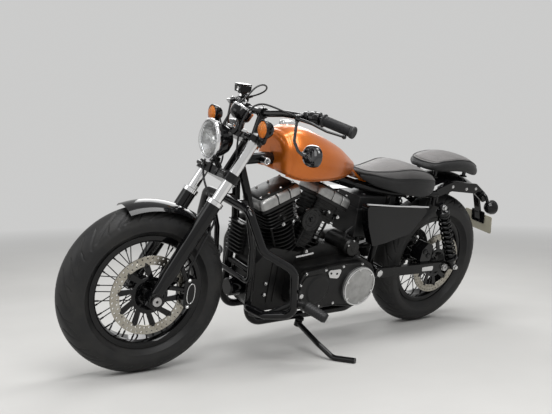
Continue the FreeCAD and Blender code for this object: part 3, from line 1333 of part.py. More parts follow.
NODES = {
    "frame": ("chassis", frame),
    "engine_case": ("chassis", engine_case),
    "primary_cover": ("chassis", primary_cover),
    "derby_cover": ("chassis", derby_cover),
    "inspection_cover": ("chassis", inspection_cover),
    "cylinders": ("chassis", cylinders),
    "rocker_boxes": ("chassis", rocker_boxes),
    "gearcase_cover": ("chassis", gearcase_cover),
    "pushrod_tubes": ("chassis", pushrod_tubes),
    "air_cleaner": ("chassis", air_cleaner),
    "intake": ("chassis", intake),
    "exhaust": ("chassis", exhaust),
    "horn": ("chassis", horn),
    "oil_filter": ("chassis", oil_filter),
    "regulator": ("chassis", regulator),
    "fuel_tank": ("chassis", fuel_tank),
    "fuel_cap": ("chassis", fuel_cap),
    "rider_seat": ("chassis", rider_seat),
    "pillion_seat": ("chassis", pillion_seat),
    "rear_fender": ("chassis", rear_fender),
    "fender_struts": ("chassis", fender_struts),
    "rear_shocks": ("chassis", shocks),
    "swingarm": ("chassis", swingarm),
    "rear_axle": ("chassis", rear_axle),
    "drive_belt": ("chassis", drive_belt),
    "battery_cover": ("chassis", battery_cover),
    "oil_tank": ("chassis", oil_tank),
    "rear_signals": ("chassis", rear_signals),
    "rear_signal_lenses": ("chassis", rear_signal_lenses),
    "plate": ("chassis", plate),
    "engine_guard": ("chassis", engine_guard),
    "foot_controls": ("chassis", lambda: pair(foot_control())),
    "rear_caliper": ("chassis", rear_caliper),
    "triple_clamps": ("fork", triple_clamps),
    "fork_tubes": ("fork", fork_tubes),
    "fork_sliders": ("fork", sliders),
    "front_axle": ("fork", front_axle),
    "front_fender": ("fork", front_fender),
    "front_caliper": ("fork", front_caliper),
    "headlamp_shell": ("fork", headlamp_shell),
    "headlamp_lens": ("fork", headlamp_lens),
    "handlebar": ("fork", handlebar),
    "grips": ("fork", grips),
    "hand_controls": ("fork", hand_controls),
    "brake_reservoir": ("fork", brake_reservoir),
    "clutch_cable": ("fork", clutch_cable),
    "throttle_cable": ("fork", throttle_cable),
    "brake_hose": ("fork", brake_hose),
    "mirrors": ("fork", mirrors),
    "front_signals": ("fork", front_signals),
    "front_signal_lenses": ("fork", lambda: pair(signal_lens(FRONT_SIGNAL, 1))),
    "speedometer": ("fork", speedometer),
    "front_tyre": ("front_wheel", lambda: tyre(FRONT_TYRE_RADIUS, FRONT_TYRE_WIDTH, FRONT_AXLE)),
    "front_wheel": ("front_wheel", lambda: wheel(FRONT_AXLE, FRONT_HUB_HALF_WIDTH)),
    "front_disc": ("front_wheel", lambda: disc(FRONT_AXLE, FRONT_DISC_Y, FRONT_HUB_HALF_WIDTH,
                                               FRONT_DISC_RADIUS)),
    "rear_tyre": ("rear_wheel", lambda: tyre(REAR_TYRE_RADIUS, REAR_TYRE_WIDTH, REAR_AXLE)),
    "rear_wheel": ("rear_wheel", lambda: wheel(REAR_AXLE, REAR_HUB_HALF_WIDTH)),
    "rear_disc": ("rear_wheel", lambda: disc(REAR_AXLE, REAR_DISC_Y, REAR_HUB_HALF_WIDTH, REAR_DISC_RADIUS)),
    "rear_pulley": ("rear_wheel", rear_pulley),
    "side_stand": ("side_stand", lambda: side_stand(STAND_FOOT)),
}

STEERED = ("fork", "front_wheel")


def build():
    """Every node in its parked place, with the origin under the middle of the whole."""
    shapes = {}
    for name, (body, make) in NODES.items():
        shape = make()
        if body in STEERED:
            shape = shape.transformed(STEER.toMatrix())
        shapes[name] = shape.transformed(PARK.toMatrix())
    boxes = [shape.optimalBoundingBox(False, False) for shape in shapes.values()]
    middle_x = (min(box.XMin for box in boxes) + max(box.XMax for box in boxes)) / 2
    middle_y = (min(box.YMin for box in boxes) + max(box.YMax for box in boxes)) / 2
    origin = vec(-middle_x, -middle_y, 0)
    for shape in shapes.values():
        shape.translate(origin)
    return shapes, origin


SHAPES, ORIGIN_SHIFT = build()
os.makedirs("parts", exist_ok=True)
for name, shape in SHAPES.items():
    shape.exportStep(os.path.join("parts", name + ".step"))
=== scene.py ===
import json
import math

import bmesh
import bpy
from mathutils import Matrix, Vector
from mathutils.bvhtree import BVHTree


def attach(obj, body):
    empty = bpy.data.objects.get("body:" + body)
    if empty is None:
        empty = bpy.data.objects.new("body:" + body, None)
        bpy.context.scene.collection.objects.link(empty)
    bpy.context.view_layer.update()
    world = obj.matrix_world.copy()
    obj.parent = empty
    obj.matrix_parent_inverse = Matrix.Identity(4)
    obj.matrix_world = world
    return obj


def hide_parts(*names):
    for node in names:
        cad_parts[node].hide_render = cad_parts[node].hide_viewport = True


# The looks of a low cruiser motorcycle parked on its side stand.
# Shapes are written in millimetres in the upright machine's own frame: X forward, Y left, Z up,
# with the floor point under the rear axle at the origin. Two matrices, worked out from the
# frame's joints, carry them to the leaned machine and to its turned fork.

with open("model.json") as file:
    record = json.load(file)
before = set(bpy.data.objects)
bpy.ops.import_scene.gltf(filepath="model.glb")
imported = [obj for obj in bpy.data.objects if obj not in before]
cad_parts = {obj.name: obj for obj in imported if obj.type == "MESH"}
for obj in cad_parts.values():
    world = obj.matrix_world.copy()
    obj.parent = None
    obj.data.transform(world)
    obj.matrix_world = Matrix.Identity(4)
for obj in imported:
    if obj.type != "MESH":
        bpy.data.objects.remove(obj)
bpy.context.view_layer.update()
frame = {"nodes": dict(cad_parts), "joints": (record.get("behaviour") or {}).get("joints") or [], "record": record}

WHEELBASE = 1510.0
RAKE = math.radians(30.2)
STEER_AT_REST = math.radians(-7.4)
FRONT_RADIUS = 320.0
REAR_RADIUS = 323.0
CAMERA_FROM_REAR_AXLE = Vector((2.8518, 2.5426, 0.4706))
CAMERA_ANGLES = (86.545, 0.317, 142.389)
CAMERA_LENS = 50.82
LOWER_CLAMP = 511.0
UPPER_CLAMP = 675.0
LEG_SIDE = 105.0

JOINTS = {joint["name"]: joint for joint in frame["joints"]}
HUB = Vector(JOINTS["rear_wheel_spin"]["pos_m"])
LEFT = Vector(JOINTS["rear_wheel_spin"]["axis"]).normalized()
NECK = Vector(JOINTS["steering"]["pos_m"])
UP_FORK = Vector(JOINTS["steering"]["axis"]).normalized()
AHEAD_OF_FORK = LEFT.cross(UP_FORK)
FORWARD = AHEAD_OF_FORK * math.cos(RAKE) - UP_FORK * math.sin(RAKE)
UPWARD = AHEAD_OF_FORK * math.sin(RAKE) + UP_FORK * math.cos(RAKE)


def frame_matrix():
    """From upright millimetres to the row frame in metres."""
    axes = Matrix((FORWARD, LEFT, UPWARD)).transposed().to_4x4()
    foot = HUB - UPWARD * (REAR_RADIUS / 1000)
    return Matrix.Translation(foot) @ axes @ Matrix.Scale(0.001, 4)


UPRIGHT = frame_matrix()
TURNED = (Matrix.Translation(NECK) @ Matrix.Rotation(STEER_AT_REST, 4, UP_FORK)
          @ Matrix.Translation(-NECK) @ UPRIGHT)

X_AXIS = Vector((1, 0, 0))
Y_AXIS = Vector((0, 1, 0))
Z_AXIS = Vector((0, 0, 1))
FRONT_AXLE = Vector((WHEELBASE, 0, FRONT_RADIUS))
REAR_AXLE = Vector((0, 0, REAR_RADIUS))
STEER_UP = Vector((-math.sin(RAKE), 0, math.cos(RAKE)))
STEER_AHEAD = Vector((math.cos(RAKE), 0, math.sin(RAKE)))


def vec(x, y, z):
    """A point or a direction."""
    return Vector((x, y, z))


def on_fork(up, ahead=0.0, y=0.0):
    """A point by its height up the fork legs, its distance ahead and its side."""
    return FRONT_AXLE + STEER_UP * up + STEER_AHEAD * ahead + Y_AXIS * y


# Materials

def new_material(name):
    """A material with its node tree and its shader."""
    mat = bpy.data.materials.new(name)
    mat.use_nodes = True
    tree = mat.node_tree
    return mat, tree, tree.nodes["Principled BSDF"]


def link_or_set(tree, socket, value):
    """An output is linked to the socket, and a plain value is written on it."""
    if hasattr(value, "links"):
        tree.links.new(value, socket)
    else:
        socket.default_value = value


def set_inputs(tree, node, **inputs):
    """Inputs set or linked. Underscores in a name stand for spaces."""
    for key, value in inputs.items():
        link_or_set(tree, node.inputs[key.replace("_", " ")], value)


def add(tree, kind, **inputs):
    """A new node with its inputs set."""
    node = tree.nodes.new(kind)
    set_inputs(tree, node, **inputs)
    return node


def ramp(tree, factor, low, high, start=0.0, end=1.0):
    """A factor carried from one range to another."""
    return add(tree, "ShaderNodeMapRange", Value=factor, From_Min=start, From_Max=end, To_Min=low,
               To_Max=high).outputs[0]


def mix_colors(tree, factor, first, second):
    """A colour between two, by a factor."""
    node = tree.nodes.new("ShaderNodeMix")
    node.data_type = "RGBA"
    for index, value in ((0, factor), (6, first), (7, second)):
        link_or_set(tree, node.inputs[index], value)
    return node.outputs[2]


def calculate(tree, operation, first, second):
    """The result of one sum on two outputs."""
    node = tree.nodes.new("ShaderNodeMath")
    node.operation = operation
    tree.links.new(first, node.inputs[0])
    tree.links.new(second, node.inputs[1])
    return node.outputs[0]


def object_place(tree):
    """The place of each point of the surface, in metres."""
    return tree.nodes.new("ShaderNodeTexCoord").outputs["Object"]


def noise_of(tree, scale, detail=3.0, rough=0.55):
    """Cloudy noise in the object's own space."""
    return add(tree, "ShaderNodeTexNoise", Vector=object_place(tree), Scale=scale, Detail=detail,
               Roughness=rough).outputs["Fac"]


def two_tones(tree, cloud, first, second, start=0.35, end=0.7):
    """A colour that wanders between two tones with a cloudy noise."""
    return mix_colors(tree, ramp(tree, cloud, 0.0, 1.0, start, end), (*first, 1), (*second, 1))


def uneven_gloss(tree, cloud, low, high):
    """Roughness that follows the same cloudy noise as the colour."""
    return ramp(tree, cloud, low, high, 0.3, 0.7)


def add_bump(tree, shader, height, distance, strength=1.0):
    """Surface relief, its depth in metres."""
    bump = add(tree, "ShaderNodeBump", Height=height, Distance=distance, Strength=strength)
    set_inputs(tree, shader, Normal=bump.outputs[0])


def finish_of(name, color, worn, rough, metal=0.0, coat=0.0, grain=900.0, bump=0.00002, patch=9.0,
              coat_rough=0.04, shine=0.5):
    """A surface whose colour wanders between two tones, with uneven gloss and a fine grain."""
    mat, tree, shader = new_material(name)
    broad = noise_of(tree, patch, 4.0)
    set_inputs(tree, shader, Base_Color=two_tones(tree, broad, color, worn),
               Roughness=uneven_gloss(tree, broad, *rough), Metallic=metal, Coat_Weight=coat,
               Coat_Roughness=coat_rough, Specular_IOR_Level=shine)
    add_bump(tree, shader, noise_of(tree, grain, 2.0), bump)
    return mat


def tank_finish():
    """Burnt orange metallic paint with fine flakes under a clear coat."""
    mat, tree, shader = new_material("tank_paint")
    flakes = add(tree, "ShaderNodeTexVoronoi", Vector=object_place(tree), Scale=1800.0)
    cloud = noise_of(tree, 7.0)
    deep = two_tones(tree, cloud, (0.52, 0.115, 0.007), (0.60, 0.150, 0.010), 0.3)
    flake = ramp(tree, flakes.outputs["Distance"], 0.35, 0.0, 0.0, 0.5)
    set_inputs(tree, shader, Base_Color=mix_colors(tree, flake, deep, (0.95, 0.34, 0.04, 1)),
               Roughness=uneven_gloss(tree, cloud, 0.30, 0.40), Metallic=0.62, Coat_Weight=0.55,
               Coat_Roughness=0.03)
    return mat


def leather():
    """Grained dark grey leather with a dry sheen; its pale grey top panel is painted light from above, and its
    darker sides are painted shade.
    """
    mat, tree, shader = new_material("seat")
    cells = add(tree, "ShaderNodeTexVoronoi", Vector=object_place(tree), Scale=420.0)
    cells.feature = "DISTANCE_TO_EDGE"
    broad = noise_of(tree, 14.0, 5.0)
    # Painted shade: the sides' darker tone stands for light from above that misses them.
    sides = two_tones(tree, broad, (0.009, 0.009, 0.0095), (0.018, 0.018, 0.0185))
    # Painted light: the top panel is the same leather painted paler, as if lit from above.
    top = two_tones(tree, broad, (0.125, 0.120, 0.118), (0.175, 0.168, 0.165))
    panel = tree.nodes.new("ShaderNodeAttribute")
    panel.attribute_name = "panel"
    set_inputs(tree, shader, Base_Color=mix_colors(tree, panel.outputs["Fac"], sides, top),
               Roughness=uneven_gloss(tree, broad, 0.40, 0.55), Sheen_Weight=0.12, Sheen_Roughness=0.4,
               Specular_IOR_Level=0.3)
    creases = ramp(tree, cells.outputs["Distance"], 0.0, 1.0, 0.0, 0.12)
    height = calculate(tree, "ADD", creases, noise_of(tree, 700.0))
    add_bump(tree, shader, height, 0.00025, 0.8)
    return mat


def rubber_finish(name, color, dust, rough, patch=11.0, grain=500.0, bump=0.00012):
    """Matt rubber, dusty in patches, with a fine grain."""
    mat, tree, shader = new_material(name)
    broad = noise_of(tree, patch, 6.0, 0.62)
    set_inputs(tree, shader, Base_Color=two_tones(tree, broad, color, dust, 0.42, 0.75),
               Roughness=uneven_gloss(tree, broad, *rough), Specular_IOR_Level=0.35)
    add_bump(tree, shader, noise_of(tree, grain, 4.0), bump)
    return mat


def glass(name, color, rough, cloud, depth=0.0):
    """A clear lens, or a coloured one whose inner side is finely ribbed."""
    mat, tree, shader = new_material(name)
    haze = noise_of(tree, 40.0)
    shade = tuple(channel * 0.8 for channel in color)
    tone = mix_colors(tree, ramp(tree, haze, 0.0, cloud), (*color, 1), (*shade, 1))
    set_inputs(tree, shader, Base_Color=tone, Roughness=ramp(tree, haze, rough, rough + 0.05),
               Transmission_Weight=1.0 - depth, IOR=1.45)
    if depth:
        ribs = add(tree, "ShaderNodeTexWave", Vector=object_place(tree), Scale=90.0, Distortion=0.0)
        ribs.bands_direction = "Y"
        add_bump(tree, shader, ribs.outputs["Fac"], 0.0004, 0.5)
    return mat


def ringed_metal(name, color, worn, centre):
    """Metal with fine turned rings round a centre, as on a brake disc."""
    mat, tree, shader = new_material(name)
    moved = tree.nodes.new("ShaderNodeVectorMath")
    moved.operation = "SUBTRACT"
    moved.inputs[1].default_value = centre
    tree.links.new(object_place(tree), moved.inputs[0])
    wave = add(tree, "ShaderNodeTexWave", Vector=moved.outputs[0], Scale=900.0, Distortion=1.5, Detail=2.0)
    wave.wave_type = "RINGS"
    wave.rings_direction = "SPHERICAL"
    rings = wave.outputs["Fac"]
    set_inputs(tree, shader, Base_Color=two_tones(tree, noise_of(tree, 25.0, 5.0), color, worn),
               Roughness=ramp(tree, rings, 0.25, 0.4), Metallic=1.0)
    add_bump(tree, shader, rings, 0.00003, 0.6)
    return mat


MATERIALS = {
    "black_paint": finish_of("black_paint", (0.0022, 0.0022, 0.0026), (0.005, 0.005, 0.0055), (0.08, 0.16),
                             coat=0.42, grain=600.0, bump=0.000006, shine=0.12),
    "frame_black": finish_of("frame_black", (0.0035, 0.0035, 0.004), (0.008, 0.0077, 0.0073), (0.18, 0.30),
                             coat=0.28, grain=1100.0, bump=0.00002, coat_rough=0.08, shine=0.12),
    "engine_black": finish_of("engine_black", (0.0038, 0.0038, 0.0042), (0.010, 0.0097, 0.009),
                              (0.28, 0.42), grain=1500.0, bump=0.00007, patch=16.0, shine=0.28),
    "silver_cast": finish_of("silver_cast", (0.44, 0.44, 0.435), (0.30, 0.30, 0.295), (0.32, 0.44), metal=0.9,
                             grain=1600.0, bump=0.00006, patch=24.0),
    "polished": finish_of("polished", (0.74, 0.74, 0.74), (0.6, 0.6, 0.6), (0.12, 0.24), metal=1.0,
                          bump=0.00001),
    "chrome": finish_of("chrome", (0.82, 0.82, 0.83), (0.72, 0.72, 0.73), (0.04, 0.11), metal=1.0,
                        grain=500.0, bump=0.000004),
    "steel": finish_of("steel", (0.50, 0.50, 0.51), (0.36, 0.35, 0.34), (0.28, 0.42), metal=1.0, grain=700.0,
                       bump=0.00003, patch=30.0),
    "tank_paint": tank_finish(),
    "tyre": rubber_finish("tyre", (0.010, 0.010, 0.0105), (0.026, 0.025, 0.0235), (0.42, 0.66)),
    "rubber": rubber_finish("rubber", (0.010, 0.010, 0.011), (0.022, 0.022, 0.0225), (0.42, 0.6), 30.0,
                            900.0, 0.00006),
    "seat": leather(),
    "headlamp_glass": glass("headlamp_glass", (0.97, 0.98, 0.98), 0.0, 0.1),
    "amber": glass("amber", (0.95, 0.30, 0.02), 0.05, 0.4, 0.45),
    "red": glass("red", (0.50, 0.01, 0.008), 0.05, 0.4, 0.5),
    "mirror": finish_of("mirror", (0.006, 0.006, 0.007), (0.010, 0.010, 0.011), (0.06, 0.12), coat=1.0,
                        grain=500.0, bump=0.000004),
    "plastic": finish_of("plastic", (0.007, 0.007, 0.0075), (0.014, 0.014, 0.014), (0.34, 0.5), grain=1300.0,
                         bump=0.00004, patch=22.0, shine=0.35),
    "plate": finish_of("plate", (0.62, 0.59, 0.47), (0.52, 0.49, 0.38), (0.35, 0.5), grain=400.0,
                       bump=0.00003),
    "pipe": finish_of("pipe", (0.007, 0.007, 0.007), (0.018, 0.016, 0.014), (0.36, 0.52), grain=1200.0,
                      bump=0.00005, patch=14.0, shine=0.35),
    "disc_steel": ringed_metal("disc_steel", (0.44, 0.42, 0.37), (0.34, 0.31, 0.26),
                               tuple(TURNED @ FRONT_AXLE)),
}


# Shapes: each is a pair of point and face lists in upright millimetres

CORNER_STEPS = 5


def rounded(points, bend, closed=False, steps=4):
    """Corners replaced by short arcs."""
    points = [Vector(p) for p in points]
    count = len(points)
    line = []
    for index, here in enumerate(points):
        if bend <= 0 or (not closed and index in (0, count - 1)):
            line.append(here)
            continue
        back = points[index - 1] - here
        ahead = points[(index + 1) % count] - here
        if back.length < 1e-6 or ahead.length < 1e-6:
            line.append(here)
            continue
        half = back.angle(ahead) / 2
        if half > math.pi / 2 - 0.01 or half < 0.02:
            line.append(here)
            continue
        reach = min(bend / math.tan(half), 0.47 * min(back.length, ahead.length))
        start = here + back.normalized() * reach
        end = here + ahead.normalized() * reach
        for step in range(steps + 1):
            t = step / steps
            line.append(start * (1 - t) ** 2 + here * 2 * t * (1 - t) + end * t ** 2)
    return line


def cleaned(line):
    """A line without its repeated points."""
    kept = [line[0]]
    for point in line[1:]:
        if (point - kept[-1]).length > 1e-4:
            kept.append(point)
    return kept


def tube(points, radius, bend=60.0, sides=20, steps=8, flat=1.0, radii=None):
    """A round bar along a line with rounded corners. radii, if given, are its sizes from end to end."""
    line = cleaned(rounded(points, bend, steps=steps))
    lengths = [0.0]
    for a, b in zip(line, line[1:]):
        lengths.append(lengths[-1] + (b - a).length)
    verts, faces = [], []
    tangent = (line[1] - line[0]).normalized()
    side = tangent.cross(Z_AXIS if abs(tangent.z) < 0.9 else X_AXIS).normalized()
    for index, here in enumerate(line):
        before = line[max(index - 1, 0)]
        after = line[min(index + 1, len(line) - 1)]
        tangent = (after - before).normalized()
        side = (side - tangent * side.dot(tangent)).normalized()
        up = tangent.cross(side)
        size = radius
        if radii:
            share = lengths[index] / lengths[-1] * (len(radii) - 1)
            low = min(int(share), len(radii) - 2)
            size = radii[low] + (radii[low + 1] - radii[low]) * (share - low)
        for k in range(sides):
            angle = 2 * math.pi * k / sides
            verts.append(here + side * (math.cos(angle) * size) + up * (math.sin(angle) * size * flat))
    for index in range(len(line) - 1):
        for k in range(sides):
            a = index * sides + k
            b = index * sides + (k + 1) % sides
            faces.append((a, b, b + sides, a + sides))
    faces.append(tuple(reversed(range(sides))))
    faces.append(tuple(range((len(line) - 1) * sides, len(line) * sides)))
    return verts, faces


def rod(start, end, radius, sides=24, bevel=0.0):
    """A straight round bar, with small bevels on its ends."""
    if bevel <= 0:
        return tube([start, end], radius, 0, sides)
    length = (end - start).length
    outline = [(0, 0), (0, radius - bevel), (bevel, radius), (length - bevel, radius),
               (length, radius - bevel), (length, 0)]
    return turned(outline, start, end - start, sides)


def turned(outline, centre, axis, sides=48, bend=0.0):
    """An outline of (along, radius) pairs turned about an axis; open ends on the axis close it."""
    along = Vector(axis).normalized()
    radial = along.cross(X_AXIS if abs(along.x) < 0.9 else Z_AXIS).normalized()
    other = along.cross(radial)
    closed = outline[0][1] > 0.01 and outline[-1][1] > 0.01
    profile = cleaned(rounded([Vector((s, r, 0)) for s, r in outline], bend, closed, 3))
    verts, faces = [], []
    count = len(profile)
    for k in range(sides):
        angle = 2 * math.pi * k / sides
        spoke = radial * math.cos(angle) + other * math.sin(angle)
        for point in profile:
            verts.append(centre + along * point.x + spoke * point.y)
    for k in range(sides):
        following = (k + 1) % sides
        for index in range(count if closed else count - 1):
            after = (index + 1) % count
            faces.append((k * count + index, k * count + after, following * count + after,
                          following * count + index))
    return verts, faces


def prism(outline, y_low, y_high, bend=0.0):
    """An outline of (x, z) pairs drawn out along Y."""
    line = cleaned(rounded([vec(x, 0, z) for x, z in outline], bend, True, CORNER_STEPS))
    return lofted([[vec(p.x, y, p.z) for p in line] for y in (y_low, y_high)])


def extruded(points, along, bend=0.0):
    """A flat outline of points drawn out along a vector."""
    line = cleaned(rounded(points, bend, True, CORNER_STEPS))
    return lofted([line, [p + along for p in line]])


def cuboid(low, high):
    """A plain box between two corners."""
    corners = [(low[0], low[2]), (high[0], low[2]), (high[0], high[2]), (low[0], high[2])]
    return prism(corners, low[1], high[1])


def knob(outline, centre, axis, sides=48, bend=0.0):
    """A turned shape with a flat disc at each end."""
    return turned([(outline[0][0], 0), *outline, (outline[-1][0], 0)], centre, axis, sides, bend)


def lofted(rings):
    """Closed rings of equal count joined in turn, with both ends closed."""
    count = len(rings[0])
    verts = [point for ring in rings for point in ring]
    faces = []
    for index in range(len(rings) - 1):
        for k in range(count):
            a, b = index * count + k, index * count + (k + 1) % count
            faces.append((a, b, b + count, a + count))
    faces.append(tuple(reversed(range(count))))
    faces.append(tuple(range(len(verts) - count, len(verts))))
    return verts, faces


def round_axle(axle, radius, angle, y=0.0):
    """A place round an axle, by its angle from straight up towards the front."""
    return axle + vec(radius * math.sin(angle), y, radius * math.cos(angle))


def spline_point(p0, p1, p2, p3, t):
    """A point of a Catmull-Rom curve between its second and third points."""
    return 0.5 * ((2 * p1) + (p2 - p0) * t + (2 * p0 - 5 * p1 + 4 * p2 - p3) * t * t
                  + (3 * p1 - p0 - 3 * p2 + p3) * t ** 3)


def smooth_ring(points, count):
    """Points spread evenly along a closed smooth curve."""
    total = len(points)
    ring = []
    for k in range(count):
        share = total * k / count
        index = int(share)
        ring.append(spline_point(*(points[(index + offset) % total] for offset in (-1, 0, 1, 2)),
                                 share - index))
    return ring


def between(table, x):
    """Smoothly interpolated rows of a table whose first column is the place along it."""
    rows = sorted(table)
    if x <= rows[0][0]:
        return rows[0][1:]
    if x >= rows[-1][0]:
        return rows[-1][1:]
    index = max(i for i, row in enumerate(rows[:-1]) if row[0] <= x)
    here, after = rows[index], rows[index + 1]
    span = after[0] - here[0]
    t = (x - here[0]) / span
    values = []
    for column in range(1, len(here)):
        before = rows[max(index - 1, 0)]
        beyond = rows[min(index + 2, len(rows) - 1)]
        slope_here = (after[column] - before[column]) / max(after[0] - before[0], 1e-9) * span
        slope_after = (beyond[column] - here[column]) / max(beyond[0] - here[0], 1e-9) * span
        values.append((2 * t ** 3 - 3 * t ** 2 + 1) * here[column] + (t ** 3 - 2 * t ** 2 + t) * slope_here
                      + (-2 * t ** 3 + 3 * t ** 2) * after[column] + (t ** 3 - t ** 2) * slope_after)
    return values


def mirrored(shape):
    """The same shape on the other side of the machine."""
    verts, faces = shape
    return [vec(v.x, -v.y, v.z) for v in verts], [tuple(reversed(face)) for face in faces]


def both(*shapes):
    """Shapes for the left side, and then their mirror images."""
    return list(shapes) + [mirrored(shape) for shape in shapes]


def bolt(place, axis, size=6.0, height=4.0, sides=6):
    """A bolt head with a washer."""
    along = Vector(axis).normalized()
    washer = knob([(-0.5, size * 1.35), (1.2, size * 1.35)], place, along, 16)
    head = turned([(1.0, 0), (1.0, size), (height, size), (height + 0.8, size * 0.8), (height + 0.8, 0)],
                  place, along, sides)
    return merged([washer, head])


def merged(shapes):
    """Several shapes as one."""
    verts, faces = [], []
    for points, polygons in shapes:
        base = len(verts)
        verts += points
        faces += [tuple(base + index for index in face) for face in polygons]
    return verts, faces


def piece(name, shapes, material, body, turn=False, stands_for=(), bevel=0.0, sharp=38.0, subdivide=0):
    """One object of the scene, made from shapes, riding on a body."""
    verts, faces = merged(shapes)
    place = TURNED if turn else UPRIGHT
    mesh = bpy.data.meshes.new(name)
    mesh.from_pydata([place @ v for v in verts], [], faces)
    mesh.validate()
    obj = bpy.data.objects.new(name, mesh)
    bpy.context.scene.collection.objects.link(obj)
    fix_normals(mesh)
    mesh.shade_smooth()
    mesh.set_sharp_from_angle(angle=math.radians(sharp))
    mesh.materials.append(MATERIALS[material])
    if bevel:
        cut = obj.modifiers.new("edges", "BEVEL")
        cut.width = bevel / 1000
        cut.segments = 2
        cut.limit_method = "ANGLE"
        cut.angle_limit = math.radians(35)
    if subdivide:
        finer = obj.modifiers.new("smooth", "SUBSURF")
        finer.levels = finer.render_levels = subdivide
    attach(obj, body)
    if stands_for:
        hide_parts(*stands_for)
    return obj


def fix_normals(mesh):
    """Faces turned outwards, and doubled points joined."""
    work = bmesh.new()
    work.from_mesh(mesh)
    bmesh.ops.remove_doubles(work, verts=work.verts, dist=1e-6)
    bmesh.ops.recalc_face_normals(work, faces=work.faces)
    work.to_mesh(mesh)
    work.free()


# The carried-over pieces take their finish from their slot

SLOT_OF = {part["node"]: part["material_slot"] for part in frame["record"]["subparts"]}
for node_name, node in frame["nodes"].items():
    node.data.materials.clear()
    node.data.materials.append(MATERIALS[SLOT_OF[node_name]])
    node.data.shade_smooth()
    node.data.set_sharp_from_angle(angle=math.radians(35))


# Wheels

BEAD = 203.5
TREAD_DROP = 35.0
TREAD_SHARE = 0.45
TREAD_COLUMNS = 56
TREAD_PITCHES = 15
TYRE_STEPS = 900
GROOVE_DEPTH = 4.2
GROOVE_EDGE = 0.8

# Each groove: its start and end across the tread, its lead and curve, its width and its offset
GROOVES = ((0.10, 0.97, 0.95, 1.9, 5.2, 0.0), (0.34, 0.99, 0.55, 1.5, 4.2, 0.36),
           (0.62, 1.0, 0.22, 1.2, 3.4, 0.68))
SPOKES = 40
SPOKE_RADIUS = 2.0
HUB_LACING = 37
RIM_LACING = 190
DISC_CELLS = 44
DISC_ARMS = 10
HOLE_RADIUS = 3.6


def tyre_profile(radius, width):
    """(y, radius) pairs from the left bead over the crown to the right bead, with sidewall ribs."""
    edge = radius - TREAD_DROP
    shoulder = TREAD_SHARE * width
    crown = (shoulder ** 2 + TREAD_DROP ** 2) / (2 * TREAD_DROP)
    wall = width / 2
    side = [(39.7, BEAD), (39.7, 216.0), (43.0, 224.0), (wall - 7.0, 233.0), (wall - 4.2, 236.0),
            (wall - 4.6, 239.0), (wall - 1.0, 247.0), (wall, edge - 23), (wall - 0.2, edge - 17),
            (wall - 2.2, edge - 13), (shoulder + 1.5, edge - 4)]
    tread = []
    reach = math.asin(shoulder / crown)
    for k in range(TREAD_COLUMNS + 1):
        angle = reach * (1 - 2 * k / TREAD_COLUMNS)
        tread.append((crown * math.sin(angle), radius - crown + crown * math.cos(angle)))
    return side + tread + [(-y, r) for y, r in reversed(side)], len(side), len(tread)


def groove_depth(around, across, pitch, half_width):
    """How deep the tread is cut at a place, in millimetres. Curved grooves sweep back on each side."""
    depth = 0.0
    for side, shift in ((1, 0.0), (-1, 0.5)):
        s = across * side / half_width
        for start, end, lead, curve, width, offset in GROOVES:
            if not start - 0.03 <= s <= end + 0.02:
                continue
            t = (s - start) / (end - start)
            centre = lead * max(t, 0.0) ** curve
            gap = (around / pitch + shift + offset - centre) % 1.0
            gap = min(gap, 1.0 - gap) * pitch
            slant = lead * curve * max(t, 0.02) ** (curve - 1) * pitch / ((end - start) * half_width)
            gap /= math.sqrt(1 + slant * slant)
            taper = min(1.0, max(0.0, (s - start) / 0.12), max(0.0, (end + 0.02 - s) / 0.05))
            reach = width * (0.35 + 0.65 * taper) / 2 + GROOVE_EDGE
            if gap < reach:
                depth = max(depth, GROOVE_DEPTH * taper * min(1.0, (reach - gap) / 1.4))
    return depth


def tyre(name, axle, radius, width, body, turn):
    """The ribbed and grooved skin, with a plain lining inside it."""
    profile, first, count = tyre_profile(radius, width)
    pitch = 2 * math.pi * radius / TREAD_PITCHES
    half_width = TREAD_SHARE * width * 1.03
    columns = len(profile)
    verts, faces = [], []
    for k in range(TYRE_STEPS):
        around = pitch * TREAD_PITCHES * k / TYRE_STEPS
        angle = 2 * math.pi * k / TYRE_STEPS
        for index, (y, r) in enumerate(profile):
            if first <= index < first + count:
                r -= groove_depth(around, y, pitch, half_width)
            verts.append(round_axle(axle, r, angle, y))
        a, b = k * columns, (k + 1) % TYRE_STEPS * columns
        for index in range(columns - 1):
            faces.append((a + index, a + index + 1, b + index + 1, b + index))
    half_lining = [(30, BEAD), (width / 2 - 12, radius - 58), (0.3 * width, radius - 26)]
    inner = [(-y, r) for y, r in half_lining] + half_lining[::-1]
    piece(name + "_tread", [(verts, faces), turned(inner, axle, Y_AXIS, 96)], "tyre", body, turn, (name,),
          sharp=50)


